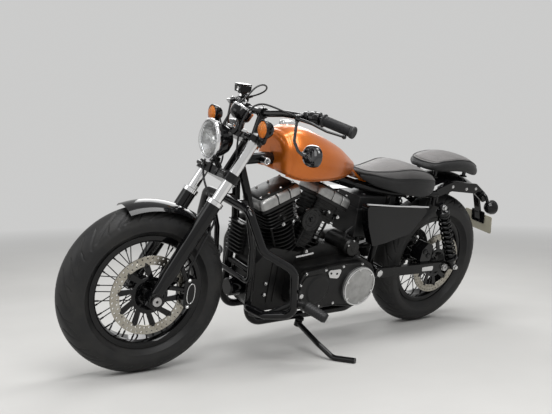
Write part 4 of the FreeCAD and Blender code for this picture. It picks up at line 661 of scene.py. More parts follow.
def wheel(name, axle, hub_half, body, turn):
    """Rim, laced spokes with their nipples, and hub."""
    shapes = [turned([(-45, 217), (-45, 199), (-40, 193), (-23, 188), (23, 188), (40, 193), (45, 199),
                      (45, 217), (40, 217), (40, 203), (21, 203), (15, 193), (-15, 193),
                      (-21, 203), (-40, 203), (-40, 217)], axle, Y_AXIS, 160, 2.2)]
    flange = hub_half - 16
    shapes.append(turned([(-hub_half, 10.4), (-hub_half, 26), (-flange - 6, 30), (-flange - 6, 44),
                          (-flange, 44), (-flange + 5, 28), (flange - 5, 28), (flange, 44), (flange + 6, 44),
                          (flange + 6, 30), (hub_half, 26), (hub_half, 10.4)], axle, Y_AXIS, 72, 2.5))
    step = 360.0 / SPOKES
    for index in range(SPOKES):
        side = 1 if index % 2 else -1
        cross = 38 if (index // 2) % 2 else -38
        rim_angle = math.radians(step * index)
        hub_angle = rim_angle + math.radians(cross)
        start = round_axle(axle, HUB_LACING, hub_angle, side * (flange + 3))
        end = round_axle(axle, RIM_LACING, rim_angle, side * 9)
        along = (end - start).normalized()
        shapes.append(tube([start, end], SPOKE_RADIUS, 0, 8))
        shapes.append(tube([end - along * 19, end - along * 1], 3.4, 0, 8))
        bend = round_axle(axle, HUB_LACING, hub_angle, side * (flange + 9))
        shapes.append(turned([(0, 0), (0, 3.6), (2.5, 3.2), (3.5, 0)], bend - vec(0, side * 2, 0),
                             vec(0, side, 0), 10))
    piece(name + "_laced", shapes, "black_paint", body, turn, (name,))


def drilled_cell(axle, y_low, y_high, angles, radii):
    """One cell of a disc band with a round hole through it."""
    centre_angle = sum(angles) / 2
    centre_radius = sum(radii) / 2
    (a0, a1), (r0, r1) = angles, radii
    corners = ((a0, r1), (a1, r1), (a1, r0), (a0, r0))
    border = []
    for index, start in enumerate(corners):
        end = corners[(index + 1) % 4]
        for k in range(4):
            border.append(tuple(s + (e - s) * k / 4 for s, e in zip(start, end)))
    ring = []
    for k in range(16):
        turn_angle = math.radians(135) - 2 * math.pi * k / 16
        ring.append((centre_angle + HOLE_RADIUS * math.cos(turn_angle) / centre_radius,
                     centre_radius + HOLE_RADIUS * math.sin(turn_angle)))
    verts = [round_axle(axle, r, a, y) for y in (y_low, y_high) for a, r in border + ring]
    faces = []
    for k in range(16):
        n = (k + 1) % 16
        faces.append((k, n, 16 + n, 16 + k))
        faces.append((32 + k, 48 + k, 48 + n, 32 + n))
        faces.append((16 + k, 16 + n, 48 + n, 48 + k))
    for k in (0, 1, 2, 3, 8, 9, 10, 11):
        n = (k + 1) % 16
        faces.append((k, 32 + k, 32 + n, n))
    return verts, faces


def disc(name, axle, y, radius, band, body, turn, hub_face):
    """A drilled band on a carrier with slanted arms, buttons and hub bolts."""
    shapes = []
    step = 2 * math.pi / DISC_CELLS
    for row, offset in ((0, 0.0), (1, 0.5)):
        inner = radius - band + row * band / 2
        for k in range(DISC_CELLS):
            shapes.append(drilled_cell(axle, y - 2.5, y + 2.5, (step * (k + offset), step * (k + offset + 1)),
                                       (inner, inner + band / 2)))
    piece(name + "_band", shapes, "disc_steel", body, turn, (name,))
    inner = radius - band
    low = hub_face + 0.3
    arms = [turned([(low, 24), (low, 44), (y - 3, 58), (y - 3, 70), (y + 2, 70), (y + 2, 56), (low + 6, 40),
                    (low + 6, 24)], axle, Y_AXIS, 72, 1.5)]
    lean = math.radians(11)
    for k in range(DISC_ARMS):
        angle = 2 * math.pi * k / DISC_ARMS
        outline = [round_axle(axle, r, a, y - 3) for r, a in (
            (64, angle - 0.16), (inner + 3, angle + lean - 0.10), (inner + 3, angle + lean + 0.10),
            (64, angle + 0.16))]
        arms.append(extruded(outline, vec(0, 5.5, 0), 4))
        button = round_axle(axle, inner + 1, angle + lean, y - 4)
        arms.append(knob([(0, 7), (8, 7), (9, 5)], button, Y_AXIS, 18))
    for k in range(5):
        arms.append(bolt(round_axle(axle, 34, 2 * math.pi * (k + 0.5) / 5, low + 6), Y_AXIS, 5, 4))
    piece(name + "_carrier", arms, "black_paint", body, turn, bevel=0.6)


tyre("front_tyre", FRONT_AXLE, FRONT_RADIUS, 130.0, "front_wheel", True)
tyre("rear_tyre", REAR_AXLE, REAR_RADIUS, 150.0, "rear_wheel", False)
wheel("front_wheel", FRONT_AXLE, 50.0, "front_wheel", True)
wheel("rear_wheel", REAR_AXLE, 58.0, "rear_wheel", False)
disc("front_disc", FRONT_AXLE, 68.0, 149.0, 34.0, "front_wheel", True, 50.0)
disc("rear_disc", REAR_AXLE, 84.0, 146.0, 34.0, "rear_wheel", False, 58.0)


# Cables and hoses: the routes, in upright millimetres on the straight-ahead fork

def by_lower_clamp(x, y, z):
    """A point by its place from the lower clamp."""
    return on_fork(LOWER_CLAMP) + vec(x, y, z)


def by_upper_clamp(x, y, z):
    """A point by its place from the upper clamp."""
    return on_fork(UPPER_CLAMP) + vec(x, y, z)


def cable(name, route, diameter):
    """A smooth cord along a route, its diameter in millimetres and its length in metres."""
    curve = bpy.data.curves.new(name, "CURVE")
    curve.dimensions = "3D"
    curve.bevel_depth = diameter / 2000
    curve.bevel_resolution = 4
    curve.resolution_u = 14
    curve.use_fill_caps = True
    spline = curve.splines.new("NURBS")
    spline.points.add(len(route) - 1)
    places = [TURNED @ Vector(place) for place in route]
    for point, place in zip(spline.points, places):
        point.co = (*place, 1)
    spline.order_u = 3
    spline.use_endpoint_u = True
    obj = bpy.data.objects.new(name + "_line", curve)
    curve.materials.append(MATERIALS["rubber"])
    bpy.context.scene.collection.objects.link(obj)
    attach(obj, "fork")
    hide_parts(name)


CLUTCH_ROUTE = [(1089.19, 219.90, 1015.17), (1100.39, 181.90, 1019.17), (1120, 128, 1030),
                (1140, 76, 1036), (1170, 60, 1022), (1199, 60, 985), (1214, 60, 940), (1216, 58, 892),
                (1214, 56, 846), (1207.79, 54, 795.52), (1225.39, 54, 765.27)]
THROTTLE_ROUTE = [(999.23, -251.04, 1029.56), (974.73, -237.84, 1040.86), (966, -206, 1060),
                  (984, -170, 1078), (1018, -138, 1088), (1056, -108, 1086), (1092, -84, 1074),
                  (1122, -66, 1050), (1158, -58, 1024), (1196, -62, 985), (1214, -60, 940),
                  (1216, -56, 890), (1214, -56, 845), (1207.79, -54, 795.52), (1225.39, -54, 765.27)]
HOSE_ROUTE = [(1089.19, -219.90, 1015.17), (1100.39, -181.90, 1019.17), (1120, -132, 1030), (1146, -98, 1020),
              (1177, -88, 988), (1200, -86, 944), on_fork(640, 46, -84), on_fork(585, 42, -78),
              on_fork(535, 42, -66), on_fork(490, 36, -44), on_fork(450, 20, -4), on_fork(418, -4, 40),
              on_fork(392, -28, 76), on_fork(352, -44, 100), on_fork(300, -46, 108), on_fork(245, -46, 108),
              on_fork(196, -58, 102), (1374.4, 84, 413.6), (1372, 84, 383.6)]
cable("clutch_cable", CLUTCH_ROUTE, 7.0)
cable("throttle_cable", THROTTLE_ROUTE, 7.0)
cable("brake_hose", HOSE_ROUTE, 8.0)


# Fuel tank. Each row of the table: place along X, half width, lower edge and crest

BACKBONE = [(1180, 870), (1040, 822), (700, 740), (560, 704)]
TUNNEL = 26.0
TANK_TABLE = [(998, 104, 772, 930), (984, 116, 766, 940), (950, 130, 760, 949), (900, 138, 758, 945),
              (810, 131, 757, 917), (715, 101, 757, 878), (645, 62, 763, 838), (606, 36, 775, 813)]
TANK_STEPS = 46
NOSE_DEPTH = 22.0
NOSE_STEPS = 9
CAP = vec(930, -46, 931)
CAP_AXIS = vec(-0.14, -0.2, 1)
CAP_FLUTES = 24


def backbone_height(x):
    """The height of the frame's backbone at a place along the machine."""
    for (x1, z1), (x0, z0) in zip(BACKBONE, BACKBONE[1:]):
        if x >= x0:
            return z0 + (z1 - z0) * (x - x0) / (x1 - x0)
    return BACKBONE[-1][1]


def tank_ring(x, half, low, high):
    """One section: a crisp lower edge, full sides, a rounded top and the channel over the backbone."""
    height = high - low
    side = [(TUNNEL + 4, low), (half * 0.80, low), (half * 0.965, low + height * 0.045),
            (half, low + height * 0.20), (half * 0.975, low + height * 0.42),
            (half * 0.86, low + height * 0.68), (half * 0.55, low + height * 0.92),
            (half * 0.22, low + height * 0.99)]
    points = [vec(x, y, z) for y, z in side] + [vec(x, 0, high)]
    points += [vec(x, -y, z) for y, z in reversed(side)]
    outer = []
    for index in range(len(points) - 1):
        before, beyond = points[max(index - 1, 0)], points[min(index + 2, len(points) - 1)]
        for step in range(6):
            outer.append(spline_point(before, points[index], points[index + 1], beyond, step / 6))
    outer.append(points[-1])
    centre = backbone_height(x)
    channel = []
    for step in range(13):
        y = -TUNNEL * math.cos(math.pi * step / 12)
        z = centre + TUNNEL * math.sin(math.pi * (1 - step / 12))
        channel.append(vec(x, y, max(low, z)))
    return outer + [vec(x, -TUNNEL - 0.5, low)] + channel + [vec(x, TUNNEL + 0.5, low)]


def squeezed(ring, x, share, centre):
    """A section moved to another x and drawn in towards a centre."""
    return [vec(x, centre.y + (p.y - centre.y) * share, centre.z + (p.z - centre.z) * share) for p in ring]


def tank_shell():
    """The tank's body with a rounded nose and tail."""
    front, back = TANK_TABLE[0], TANK_TABLE[-1]
    ring = tank_ring(*front)
    middle = vec(0, 0, (front[2] + front[3]) / 2 - 4)
    rings = []
    for k in range(NOSE_STEPS):
        angle = math.pi / 2 * (1 - k / NOSE_STEPS)
        share = 1 - 0.42 * (1 - math.cos(angle))
        rings.append(squeezed(ring, front[0] + NOSE_DEPTH * math.sin(angle), share, middle))
    for k in range(TANK_STEPS + 1):
        x = front[0] + (back[0] - front[0]) * ((k / TANK_STEPS) ** 1.25)
        rings.append(tank_ring(x, *between(TANK_TABLE, x)))
    ring = tank_ring(*back)
    middle = vec(0, 0, (back[2] + back[3]) / 2)
    for behind, share in ((4.0, 0.93), (7.5, 0.76), (9.5, 0.5)):
        rings.append(squeezed(ring, back[0] - behind, share, middle))
    return lofted(rings)


def tank_lip(side):
    """The folded seam along one lower edge."""
    edge = []
    for k in range(31):
        x = 1006 - 388 * k / 30
        half, low, _ = between(TANK_TABLE, x)
        edge.append(vec(x, side * half * 0.86, low - 0.5))
    return tube(edge, 3.2, 0, 10)


def tank_tongue():
    """The strap behind the tank, bolted down under the seat."""
    line = rounded([vec(644, 0, 796), vec(604, 0, 782), vec(556, 0, 744), vec(512, 0, 734)], 40)
    rings = []
    for index, here in enumerate(line):
        wide = 44 - 16 * index / (len(line) - 1)
        rings.append([here + vec(0, y, z) for y, z in (
            (-wide, -16), (-wide + 3, -3), (0, 5), (wide - 3, -3), (wide, -16), (wide - 4, -16), (0, -4),
            (-wide + 4, -16))])
    return lofted(rings)


def fuel_tank():
    """The painted tank with its tongue and lips, and the bolt at its rear."""
    shapes = [tank_shell(), tank_tongue(), tank_lip(-1), tank_lip(1)]
    piece("tank_shell", shapes, "tank_paint", "chassis", stands_for=("fuel_tank",), sharp=42)
    piece("tank_rear_bolt", [bolt(vec(562, 0, 748), vec(-0.55, 0, 0.85), 7, 6)], "polished", "chassis")


def fuel_cap():
    """A round cap with a fluted edge."""
    outline = [(-2, 0), (-2, 34), (2, 35.5), (5, 34), (6, 31), (8, 31), (20, 30), (25, 26), (28, 16), (29, 0)]
    shapes = [turned(outline, CAP, CAP_AXIS, 64, 1.5)]
    along = CAP_AXIS.normalized()
    radial = along.cross(X_AXIS).normalized()
    for k in range(CAP_FLUTES):
        angle = 2 * math.pi * k / CAP_FLUTES
        spoke = radial * math.cos(angle) + along.cross(radial) * math.sin(angle)
        shapes.append(rod(CAP + along * 8 + spoke * 30.6, CAP + along * 20 + spoke * 29.6, 1.6, 8))
    piece("tank_cap", shapes, "chrome", "chassis", stands_for=("fuel_cap",))


fuel_tank()
fuel_cap()


# Headlamp

HEADLAMP = by_lower_clamp(27, 0, 123.4)


def dome(edge, front, apex, radius, thick, steps):
    """The outline of a domed lens from its edge to its apex and back along its inner side."""
    bulge = apex - front
    ball = (radius ** 2 + bulge ** 2) / (2 * bulge)
    reach = math.asin(radius / ball)
    outer = [(edge, radius)]
    for k in range(steps + 1):
        angle = reach * (1 - k / steps)
        outer.append((apex - ball + ball * math.cos(angle), ball * math.sin(angle)))
    inner = [(s - thick, r * 0.975) for s, r in reversed(outer[1:])]
    return outer + inner[:-1] + [(edge, radius - thick)]


def headlamp():
    """The bowl on its post, the chrome ring, the reflector with its bulb, and the domed lens."""
    bowl = [(-68, 0), (-67, 15), (-60, 33), (-46, 49), (-26, 61), (0, 70), (17, 73), (17, 70.8), (0, 67.5),
            (-25, 58), (-44, 47), (-57, 31), (-62, 0)]
    x, _, z = HEADLAMP
    shapes = [turned(bowl, HEADLAMP, X_AXIS, 96, 3),
              rod(on_fork(LOWER_CLAMP + 17.5, 4), HEADLAMP + vec(-4, 0, -62), 10.5),
              cuboid((x - 24, -17, z - 79), (x + 14, 17, z - 66))]
    for side in (-1, 1):
        shapes.append(bolt(HEADLAMP + vec(-5, side * 17, -72), vec(0, side, 0), 6, 5))
    piece("headlamp_bowl", shapes, "black_paint", "fork", True, ("headlamp_shell",), bevel=1.2)
    ring = [(12, 70.5), (12, 75), (17, 77.5), (23, 77), (27.5, 74), (28, 70.5), (24, 69), (16, 69.5)]
    tab = cuboid((x + 12, -8, z - 84), (x + 24, 8, z - 74))
    piece("headlamp_ring", [turned(ring, HEADLAMP, X_AXIS, 96, 1.5), tab], "chrome", "fork", True, bevel=0.8)
    front = [(-40 + 56 * (k / 12) ** 1.9, 9 + 60.4 * (k / 12)) for k in range(13)]
    back = [(s - 1.4, r + 0.6) for s, r in reversed(front)]
    reflector = turned([(-42, 0), (-40, 9)] + front + back + [(-43.5, 0)], HEADLAMP, X_AXIS, 40)
    piece("headlamp_reflector", [reflector], "steel", "fork", True, sharp=12)
    stem = [(-42, 0), (-42, 9), (-26, 9), (-24, 6.5), (-2, 6.5), (4, 3.5), (5, 0)]
    shade = [(2, 0), (2, 17), (4, 17.6), (9, 16), (13, 10), (14.5, 0)]
    arm = [HEADLAMP + vec(7, -66, 14), HEADLAMP + vec(9, 0, 0), HEADLAMP + vec(7, 66, -14)]
    bulb = [turned(stem, HEADLAMP, X_AXIS, 24), turned(shade, HEADLAMP, X_AXIS, 32, 1),
            tube(arm, 3.2, 20, 12)]
    piece("headlamp_bulb", bulb, "polished", "fork", True)
    lens = turned(dome(19, 24, 57, 70.0, 2.6, 14), HEADLAMP, X_AXIS, 96)
    piece("headlamp_dome", [lens], "headlamp_glass", "fork", True, ("headlamp_lens",))


headlamp()


# Turn signals

def signal(centre, facing, stalk):
    """Housing and lens outlines of one round lamp, with its stalk."""
    ahead = X_AXIS * facing
    cup = [(-35, 0), (-34, 9), (-30, 17), (-22, 25.5), (-10, 31.5), (0, 34), (6, 34.4), (8, 33.4), (8, 31),
           (0, 30), (0, 0)]
    shapes = [turned(cup, centre, ahead, 56, 1), tube(stalk + [centre - ahead * 14], 8, 20, 18)]
    collar = (stalk[1] - stalk[0]).normalized()
    shapes.append(knob([(-1, 14), (3, 14), (5, 10)], stalk[0] + collar, collar, 24))
    lens = [(0.3, 0), (0.3, 29.7), (9, 29.7), (11, 28), (12, 26), (14.5, 24.5), (15.5, 21), (17.6, 19.5),
            (18.4, 15), (20, 13.5), (20.6, 8), (21.6, 0)]
    return shapes, turned(lens, centre, ahead, 56, 0.6)


def both_signals(name, centre, facing, stalk, lens_material, body, turn, nodes):
    """The left signal and its mirror image, as housings, lenses and rims."""
    housing, lens = signal(centre, facing, stalk)
    piece(name + "_housings", both(*housing), "black_paint", body, turn, (nodes[0],))
    piece(name + "_domes", both(lens), lens_material, body, turn, (nodes[1],), sharp=30)
    rim = turned([(7, 30), (7, 34.8), (10, 34.8), (11, 33), (10, 29.9)], centre, X_AXIS * facing, 56, 0.8)
    piece(name + "_rims", both(rim), "black_paint", body, turn)


FRONT_SIGNAL_FOOT = on_fork(UPPER_CLAMP, 0, 137.3)
REAR_SIGNAL_FOOT = vec(-206, 102.3, 664)
both_signals("front_signal", by_upper_clamp(21.5, 200, 53.6), 1,
             [FRONT_SIGNAL_FOOT, FRONT_SIGNAL_FOOT + vec(0, 30, 0)], "amber", "fork", True,
             ("front_signals", "front_signal_lenses"))
both_signals("rear_signal", vec(-232, 150, 612), -1, [REAR_SIGNAL_FOOT, REAR_SIGNAL_FOOT + vec(0, 22, 0)],
             "red", "chassis", False, ("rear_signals", "rear_signal_lenses"))


# Speedometer

DIAL = by_upper_clamp(15.5, 0, 78.6)
DIAL_AXIS = vec(-0.55, 0, 0.84).normalized()
DIAL_UP = vec(0.84, 0, 0.55).normalized()
DIAL_START = -125.0
DIAL_SWEEP = 250.0
DIAL_MARKS = 24
DIAL_NUMBERS = 6


def dial_point(radius, angle, height):
    """A place on the dial by its clock angle from the top, seen by the rider."""
    return (DIAL + DIAL_UP * (radius * math.cos(angle)) - Y_AXIS * (radius * math.sin(angle))
            + DIAL_AXIS * height)


def speedometer():
    """The can, its bezel, a face with plain marks and numbers, the needle and the glass."""
    can = [(-22, 0), (-22, 20), (-16, 33), (-8, 41), (0, 43), (20, 43), (20, 39.5), (18, 39), (18, 0)]
    shapes = [turned(can, DIAL, DIAL_AXIS, 72, 2), rod(on_fork(UPPER_CLAMP + 12.5, 8), DIAL, 9)]
    piece("dial_housing", shapes, "black_paint", "fork", True, ("speedometer",))
    bezel = [(18, 40), (18, 44), (24, 44.4), (27, 42.5), (27, 39.5), (22, 38.5)]
    piece("dial_bezel", [turned(bezel, DIAL, DIAL_AXIS, 72, 1)], "chrome", "fork", True)
    marks = []
    for k in range(DIAL_MARKS + 1):
        angle = math.radians(DIAL_START + DIAL_SWEEP * k / DIAL_MARKS)
        long = k % 4 == 0
        ends = [dial_point(radius, angle, 18.6) for radius in (28 if long else 31, 35)]
        marks.append(tube(ends, 0.9 if long else 0.5, 0, 6))
    for k in range(DIAL_NUMBERS + 1):
        angle = math.radians(DIAL_START + DIAL_SWEEP * k / DIAL_NUMBERS)
        marks.append(number_shape(str(20 * k), dial_point(22, angle, 18.7), 7.5))
    piece("dial_marks", marks, "plate", "fork", True)
    needle = [dial_point(8, math.radians(DIAL_START + 180), 20), dial_point(30, math.radians(DIAL_START), 20)]
    hub = knob([(18, 5), (22, 5), (23, 3)], DIAL, DIAL_AXIS, 20)
    piece("dial_needle", [tube(needle, 1.3, 0, 8, radii=[1.6, 0.6]), hub], "amber", "fork", True)
    cover = turned([(24, 0), (24, 39.5), (25.2, 39.5), (25.8, 0)], DIAL, DIAL_AXIS, 64)
    piece("dial_glass", [cover], "headlamp_glass", "fork", True)


def number_shape(text, centre, size):
    """Flat figures on the dial, as points and faces."""
    curve = bpy.data.curves.new("figures", "FONT")
    curve.body = text
    curve.size = size
    curve.extrude = 0.15
    curve.align_x = curve.align_y = "CENTER"
    curve.resolution_u = 2
    holder = bpy.data.objects.new("figures", curve)
    bpy.context.scene.collection.objects.link(holder)
    bpy.context.view_layer.update()
    mesh = bpy.data.meshes.new_from_object(holder.evaluated_get(bpy.context.evaluated_depsgraph_get()))
    verts = [centre - Y_AXIS * v.co.x + DIAL_UP * v.co.y + DIAL_AXIS * v.co.z for v in mesh.vertices]
    faces = [tuple(p.vertices) for p in mesh.polygons]
    bpy.data.objects.remove(holder)
    bpy.data.meshes.remove(mesh)
    bpy.data.curves.remove(curve)
    return verts, faces


speedometer()


# Handlebar, mirrors and controls

BAR_CENTRE = by_upper_clamp(-42.5, 0, 96.6)
BAR_RISE = BAR_CENTRE + vec(-36, 150, 12)
GRIP_START = BAR_CENTRE + vec(-107, 290, 15)
GRIP_END = BAR_CENTRE + vec(-168, 403, -10)
GRIP_ALONG = (GRIP_END - GRIP_START).normalized()
GRIP_LENGTH = (GRIP_END - GRIP_START).length
INWARD = (BAR_RISE - GRIP_START).normalized()
PERCH = GRIP_START + INWARD * 48
MIRROR = BAR_CENTRE + vec(-78, 300, -114)
MIRROR_SIDES = 64
MIRROR_HALF_WIDTH = 54
MIRROR_HALF_HEIGHT = 40
GRIP_RIBS = 26


def mirror_outline(x, share, power):
    """One section of the mirror's oval, squarer with a smaller power."""
    ring = []
    for k in range(MIRROR_SIDES):
        angle = 2 * math.pi * k / MIRROR_SIDES
        c, s = math.cos(angle), math.sin(angle)
        y = MIRROR_HALF_WIDTH * share * math.copysign(abs(c) ** power, c)
        z = MIRROR_HALF_HEIGHT * share * math.copysign(abs(s) ** power, s)
        ring.append(MIRROR + vec(x, y, z + 0.06 * y))
    return ring


def mirror_heads():
    """Both mirrors: shells on bent stems that hang from the bar, and their faces."""
    layers = [(-11.6, 0.90), (-12.4, 0.95), (-10.5, 0.99), (-6, 1.0), (0, 0.985), (5, 0.93), (9, 0.82),
              (11.6, 0.62), (12.8, 0.36), (13.2, 0.12)]
    shell = lofted([mirror_outline(x, share, 2 / 2.3) for x, share in layers])
    stem = tube([MIRROR + vec(5, -20, 0), MIRROR + vec(32, -32, 4), MIRROR + vec(50, -44, 44),
                 MIRROR + vec(46, -50, 114)], 5.5, 26, 16)
    knuckle = knob([(0, 9), (14, 8), (16, 5)], MIRROR + vec(10, -24, 0), vec(0.8, -0.5, 0.15), 20)
    piece("mirror_shells", both(shell, stem, knuckle), "mirror", "fork", True, ("mirrors",))
    face = lofted([mirror_outline(x, share, 1) for x, share in ((-12.1, 0.88), (-12.7, 0.86))])
    piece("mirror_faces", both(face), "chrome", "fork", True)


def grip():
    """The left grip with its flange, ribs and rounded end."""
    outline = [(8, 0), (8, 13), (8, 23), (10, 24.4), (13, 24), (15.5, 19)]
    start, end = 18.0, GRIP_LENGTH - 12
    step = (end - start) / GRIP_RIBS
    for k in range(GRIP_RIBS):
        low = start + k * step
        outline += [(low + step * share, radius) for share, radius in ((0, 17.8), (0.22, 19.1), (0.72, 19.1),
                                                                       (0.94, 17.8))]
    outline += [(GRIP_LENGTH + s, radius) for s, radius in ((-10, 19), (-7, 21.6), (1, 22), (4, 20), (4, 0))]
    return turned(outline, GRIP_START, GRIP_ALONG, 56)


def lever_shape():
    """A flattened blade that swells to a ball at its tip."""
    path = [PERCH + INWARD * 8 + vec(48, 8, -6), GRIP_START + vec(56, 24, -12),
            GRIP_START + GRIP_ALONG * 70 + vec(52, 8, -18), GRIP_START + GRIP_ALONG * 128 + vec(38, 6, -16)]
    blade = tube(path, 6, 40, 16, 10, 0.7, radii=[9.5, 8.5, 8, 7, 6.2, 5.6, 5.6])
    ball = turned([(-8, 0), (-6.5, 5), (-2, 7.6), (2, 7.6), (6.5, 5), (8, 0)], path[-1], GRIP_ALONG, 24, 2)
    return [blade, ball]


def hand_controls():
    """Switch housings, lever perches with their cable outlets, levers and buttons."""
    housing = [(4, 13), (4, 21.5), (6, 23), (22.6, 23.4), (23.2, 22.3), (24.4, 22.3), (25, 23.4), (42, 23),
               (44, 21.5), (44, 13)]
    shapes = [turned(housing, GRIP_START, INWARD, 48)]
    perch = [(0, 13), (0, 18), (2, 19.5), (20, 19.5), (22, 18), (22, 13)]
    shapes.append(turned(perch, PERCH, INWARD, 40))
    arm_start, arm_end = PERCH + INWARD * 11 + vec(19, 0, 4), PERCH + INWARD * 8 + vec(52, 8, -6)
    shapes.append(tube([arm_start, arm_end], 10, 0, radii=[10, 11, 9.5]))
    pivot = PERCH + INWARD * 8 + vec(47, 8, -6)
    shapes.append(knob([(-12, 8), (12, 8)], pivot, Z_AXIS, 24, 1.5))
    outlet = PERCH + vec(39.8, -4.5, -1.3)
    shapes.append(tube([outlet, outlet + vec(11.2, -38, 4) * 0.6], 6, 0, 16, radii=[7, 6.6, 5.2]))
    throttle = GRIP_START + INWARD * 24
    pipe = vec(-24.5, -13.2, 11.3)
    right_only = mirrored(tube([throttle, throttle + pipe * 1.33], 6, 0, 16, radii=[7, 6.4, 5.4]))
    piece("control_housings", both(*shapes) + [right_only], "black_paint", "fork", True, ("hand_controls",),
          bevel=0.5)
    piece("control_levers", both(*lever_shape()), "black_paint", "fork", True)
    buttons = []
    up = INWARD.cross(X_AXIS).normalized()
    if up.z < 0:
        up = -up
    ahead = up.cross(INWARD).normalized()
    for along, tilt, size in ((12, -35, 5.5), (20, -35, 4.5), (33, -28, 6.5), (14, -75, 4.0)):
        angle = math.radians(tilt)
        spoke = up * math.cos(angle) + ahead * math.sin(angle)
        foot = GRIP_START + INWARD * along + spoke * 21.5
        buttons.append(knob([(0, size), (3.6, size), (4.6, size - 1)], foot, spoke, 20))
    for along in (3, 19):
        foot = PERCH + INWARD * along + up * 14 - ahead * 14
        buttons.append(bolt(foot, up - ahead, 3.2, 8))
    piece("control_buttons", both(*buttons), "plastic", "fork", True)
    piece("control_screws", both(bolt(pivot + vec(0, 0, 12), Z_AXIS, 4.5, 3)), "polished", "fork", True)


def brake_reservoir():
    """A square cup with its lid, round window and outlet, on the right perch."""
    top = BAR_CENTRE + vec(-76, -244, 62)
    x, y, z = top
    cup = [(x - 24, z - 18), (x + 24, z - 18), (x + 26, z + 9), (x - 26, z + 9)]
    shapes = [prism(cup, y - 27, y + 27, 4),
              cuboid((x - 26, y - 28, z + 9.6), (x + 26, y + 28, z + 15)),
              turned([(0, 12), (0, 0), (24, 0), (24, 15), (20, 12)], top - Z_AXIS * 40, Z_AXIS, 28),
              cuboid((x - 15, y - 15, z - 24), (x + 15, y + 15, z - 17))]
    piece("reservoir_box", shapes, "black_paint", "fork", True, ("brake_reservoir",), bevel=1.8)
    bright = [knob([(0, 9), (2, 9), (2.5, 7), (1.2, 6.5)], top + vec(26, 9, -5), X_AXIS, 28),
              knob([(0, 8), (3, 8), (4, 6)], top + vec(11, 6, -32), vec(1, 0.4, 0), 24)]
    for across, along in ((-19, -20), (19, 20)):
        bright.append(bolt(top + vec(across, along, 15), Z_AXIS, 2.8, 1.6, 12))
    piece("reservoir_window", bright, "polished", "fork", True)


mirror_heads()
piece("grip_covers", both(grip()), "rubber", "fork", True, ("grips",), sharp=50)
hand_controls()
brake_reservoir()


# Seats. Each row of the tables: place along X, half width, and heights

RIDER_SECTIONS = [(578, 24, 762, 775), (560, 42, 756, 778), (500, 72, 746, 774), (420, 108, 719, 787),
                  (330, 135, 715, 802), (240, 139, 715, 793), (170, 118, 715, 768), (140, 88, 717, 745)]
SKIRT = [(560, 40, 764, 742), (500, 75, 760, 712), (420, 111, 752, 696), (330, 138, 752, 682),
         (240, 142, 750, 676), (170, 121, 744, 690), (148, 98, 736, 704)]
PILLION_SECTIONS = [(164, 50, 776, 798), (134, 85, 774, 823), (62, 105, 774, 840), (-12, 109, 774, 845),
                    (-100, 101, 764, 832), (-166, 75, 746, 800), (-188, 48, 744, 772)]
FROM_ROW = UPRIGHT.inverted()
SEAT_SIDES = 44
SEAT_STEPS = 40
PANEL_POINTS = 132
SIDE_SEAM_POINTS = 48
VOXEL_SIZE = 0.005
AIR_PRESSURE = 4.0
AIR_FRAMES = 20
SWELL_LIMIT = 0.011
FENDER_RADIUS = 431


def seat_ring(x, half, low, high):
    """One smooth cross section of a seat."""
    height = high - low
    side = [(0, low), (half * 0.8, low), (half, low + height * 0.36), (half * 0.88, low + height * 0.74),
            (half * 0.5, low + height * 0.95)]
    points = [vec(x, y, z) for y, z in side] + [vec(x, 0, high)]
    points += [vec(x, -y, z) for y, z in reversed(side[1:])]
    return smooth_ring(points, SEAT_SIDES)


def seat_end(section, step, shares):
    """The sections that close one end of the cover."""
    ring = seat_ring(*section)
    middle = vec(0, 0, (section[2] + section[3]) / 2)
    return [squeezed(ring, section[0] + step * (9 - 9 * share * share), share, middle) for share in shares]


def seat_form(sections):
    """The cover's shape before it is stuffed."""
    first, last = sections[0], sections[-1]
    rings = seat_end(first, 1, (0.5, 0.8))
    for k in range(SEAT_STEPS + 1):
        x = first[0] + (last[0] - first[0]) * k / SEAT_STEPS
        rings.append(seat_ring(x, *between(sections, x)))
    return lofted(rings + seat_end(last, -1, (0.8, 0.5)))


def panel_loop(sections, share, nose, tail):
    """The line round the top panel, seen from above."""
    side = []
    for k in range(7):
        x = tail + 16 + (nose - tail - 32) * k / 6
        side.append((x, between(sections, x)[0] * share))
    points = [vec(nose, 0, 0)] + [vec(x, y, 0) for x, y in reversed(side)]
    points += [vec(tail, 0, 0)] + [vec(x, -y, 0) for x, y in side]
    return smooth_ring(points, PANEL_POINTS)


def inside(loop, x, y):
    """Whether a place seen from above lies within a closed line."""
    hit = False
    for a, b in zip(loop, loop[1:] + loop[:1]):
        if (a.y > y) != (b.y > y) and x < (b.x - a.x) * (y - a.y) / (b.y - a.y) + a.x:
            hit = not hit
    return hit


def with_modifiers(obj):
    """The object's mesh with its modifiers worked in, and none left on it."""
    bpy.context.view_layer.update()
    graph = bpy.context.evaluated_depsgraph_get()
    mesh = bpy.data.meshes.new_from_object(obj.evaluated_get(graph))
    obj.modifiers.clear()
    obj.data = mesh


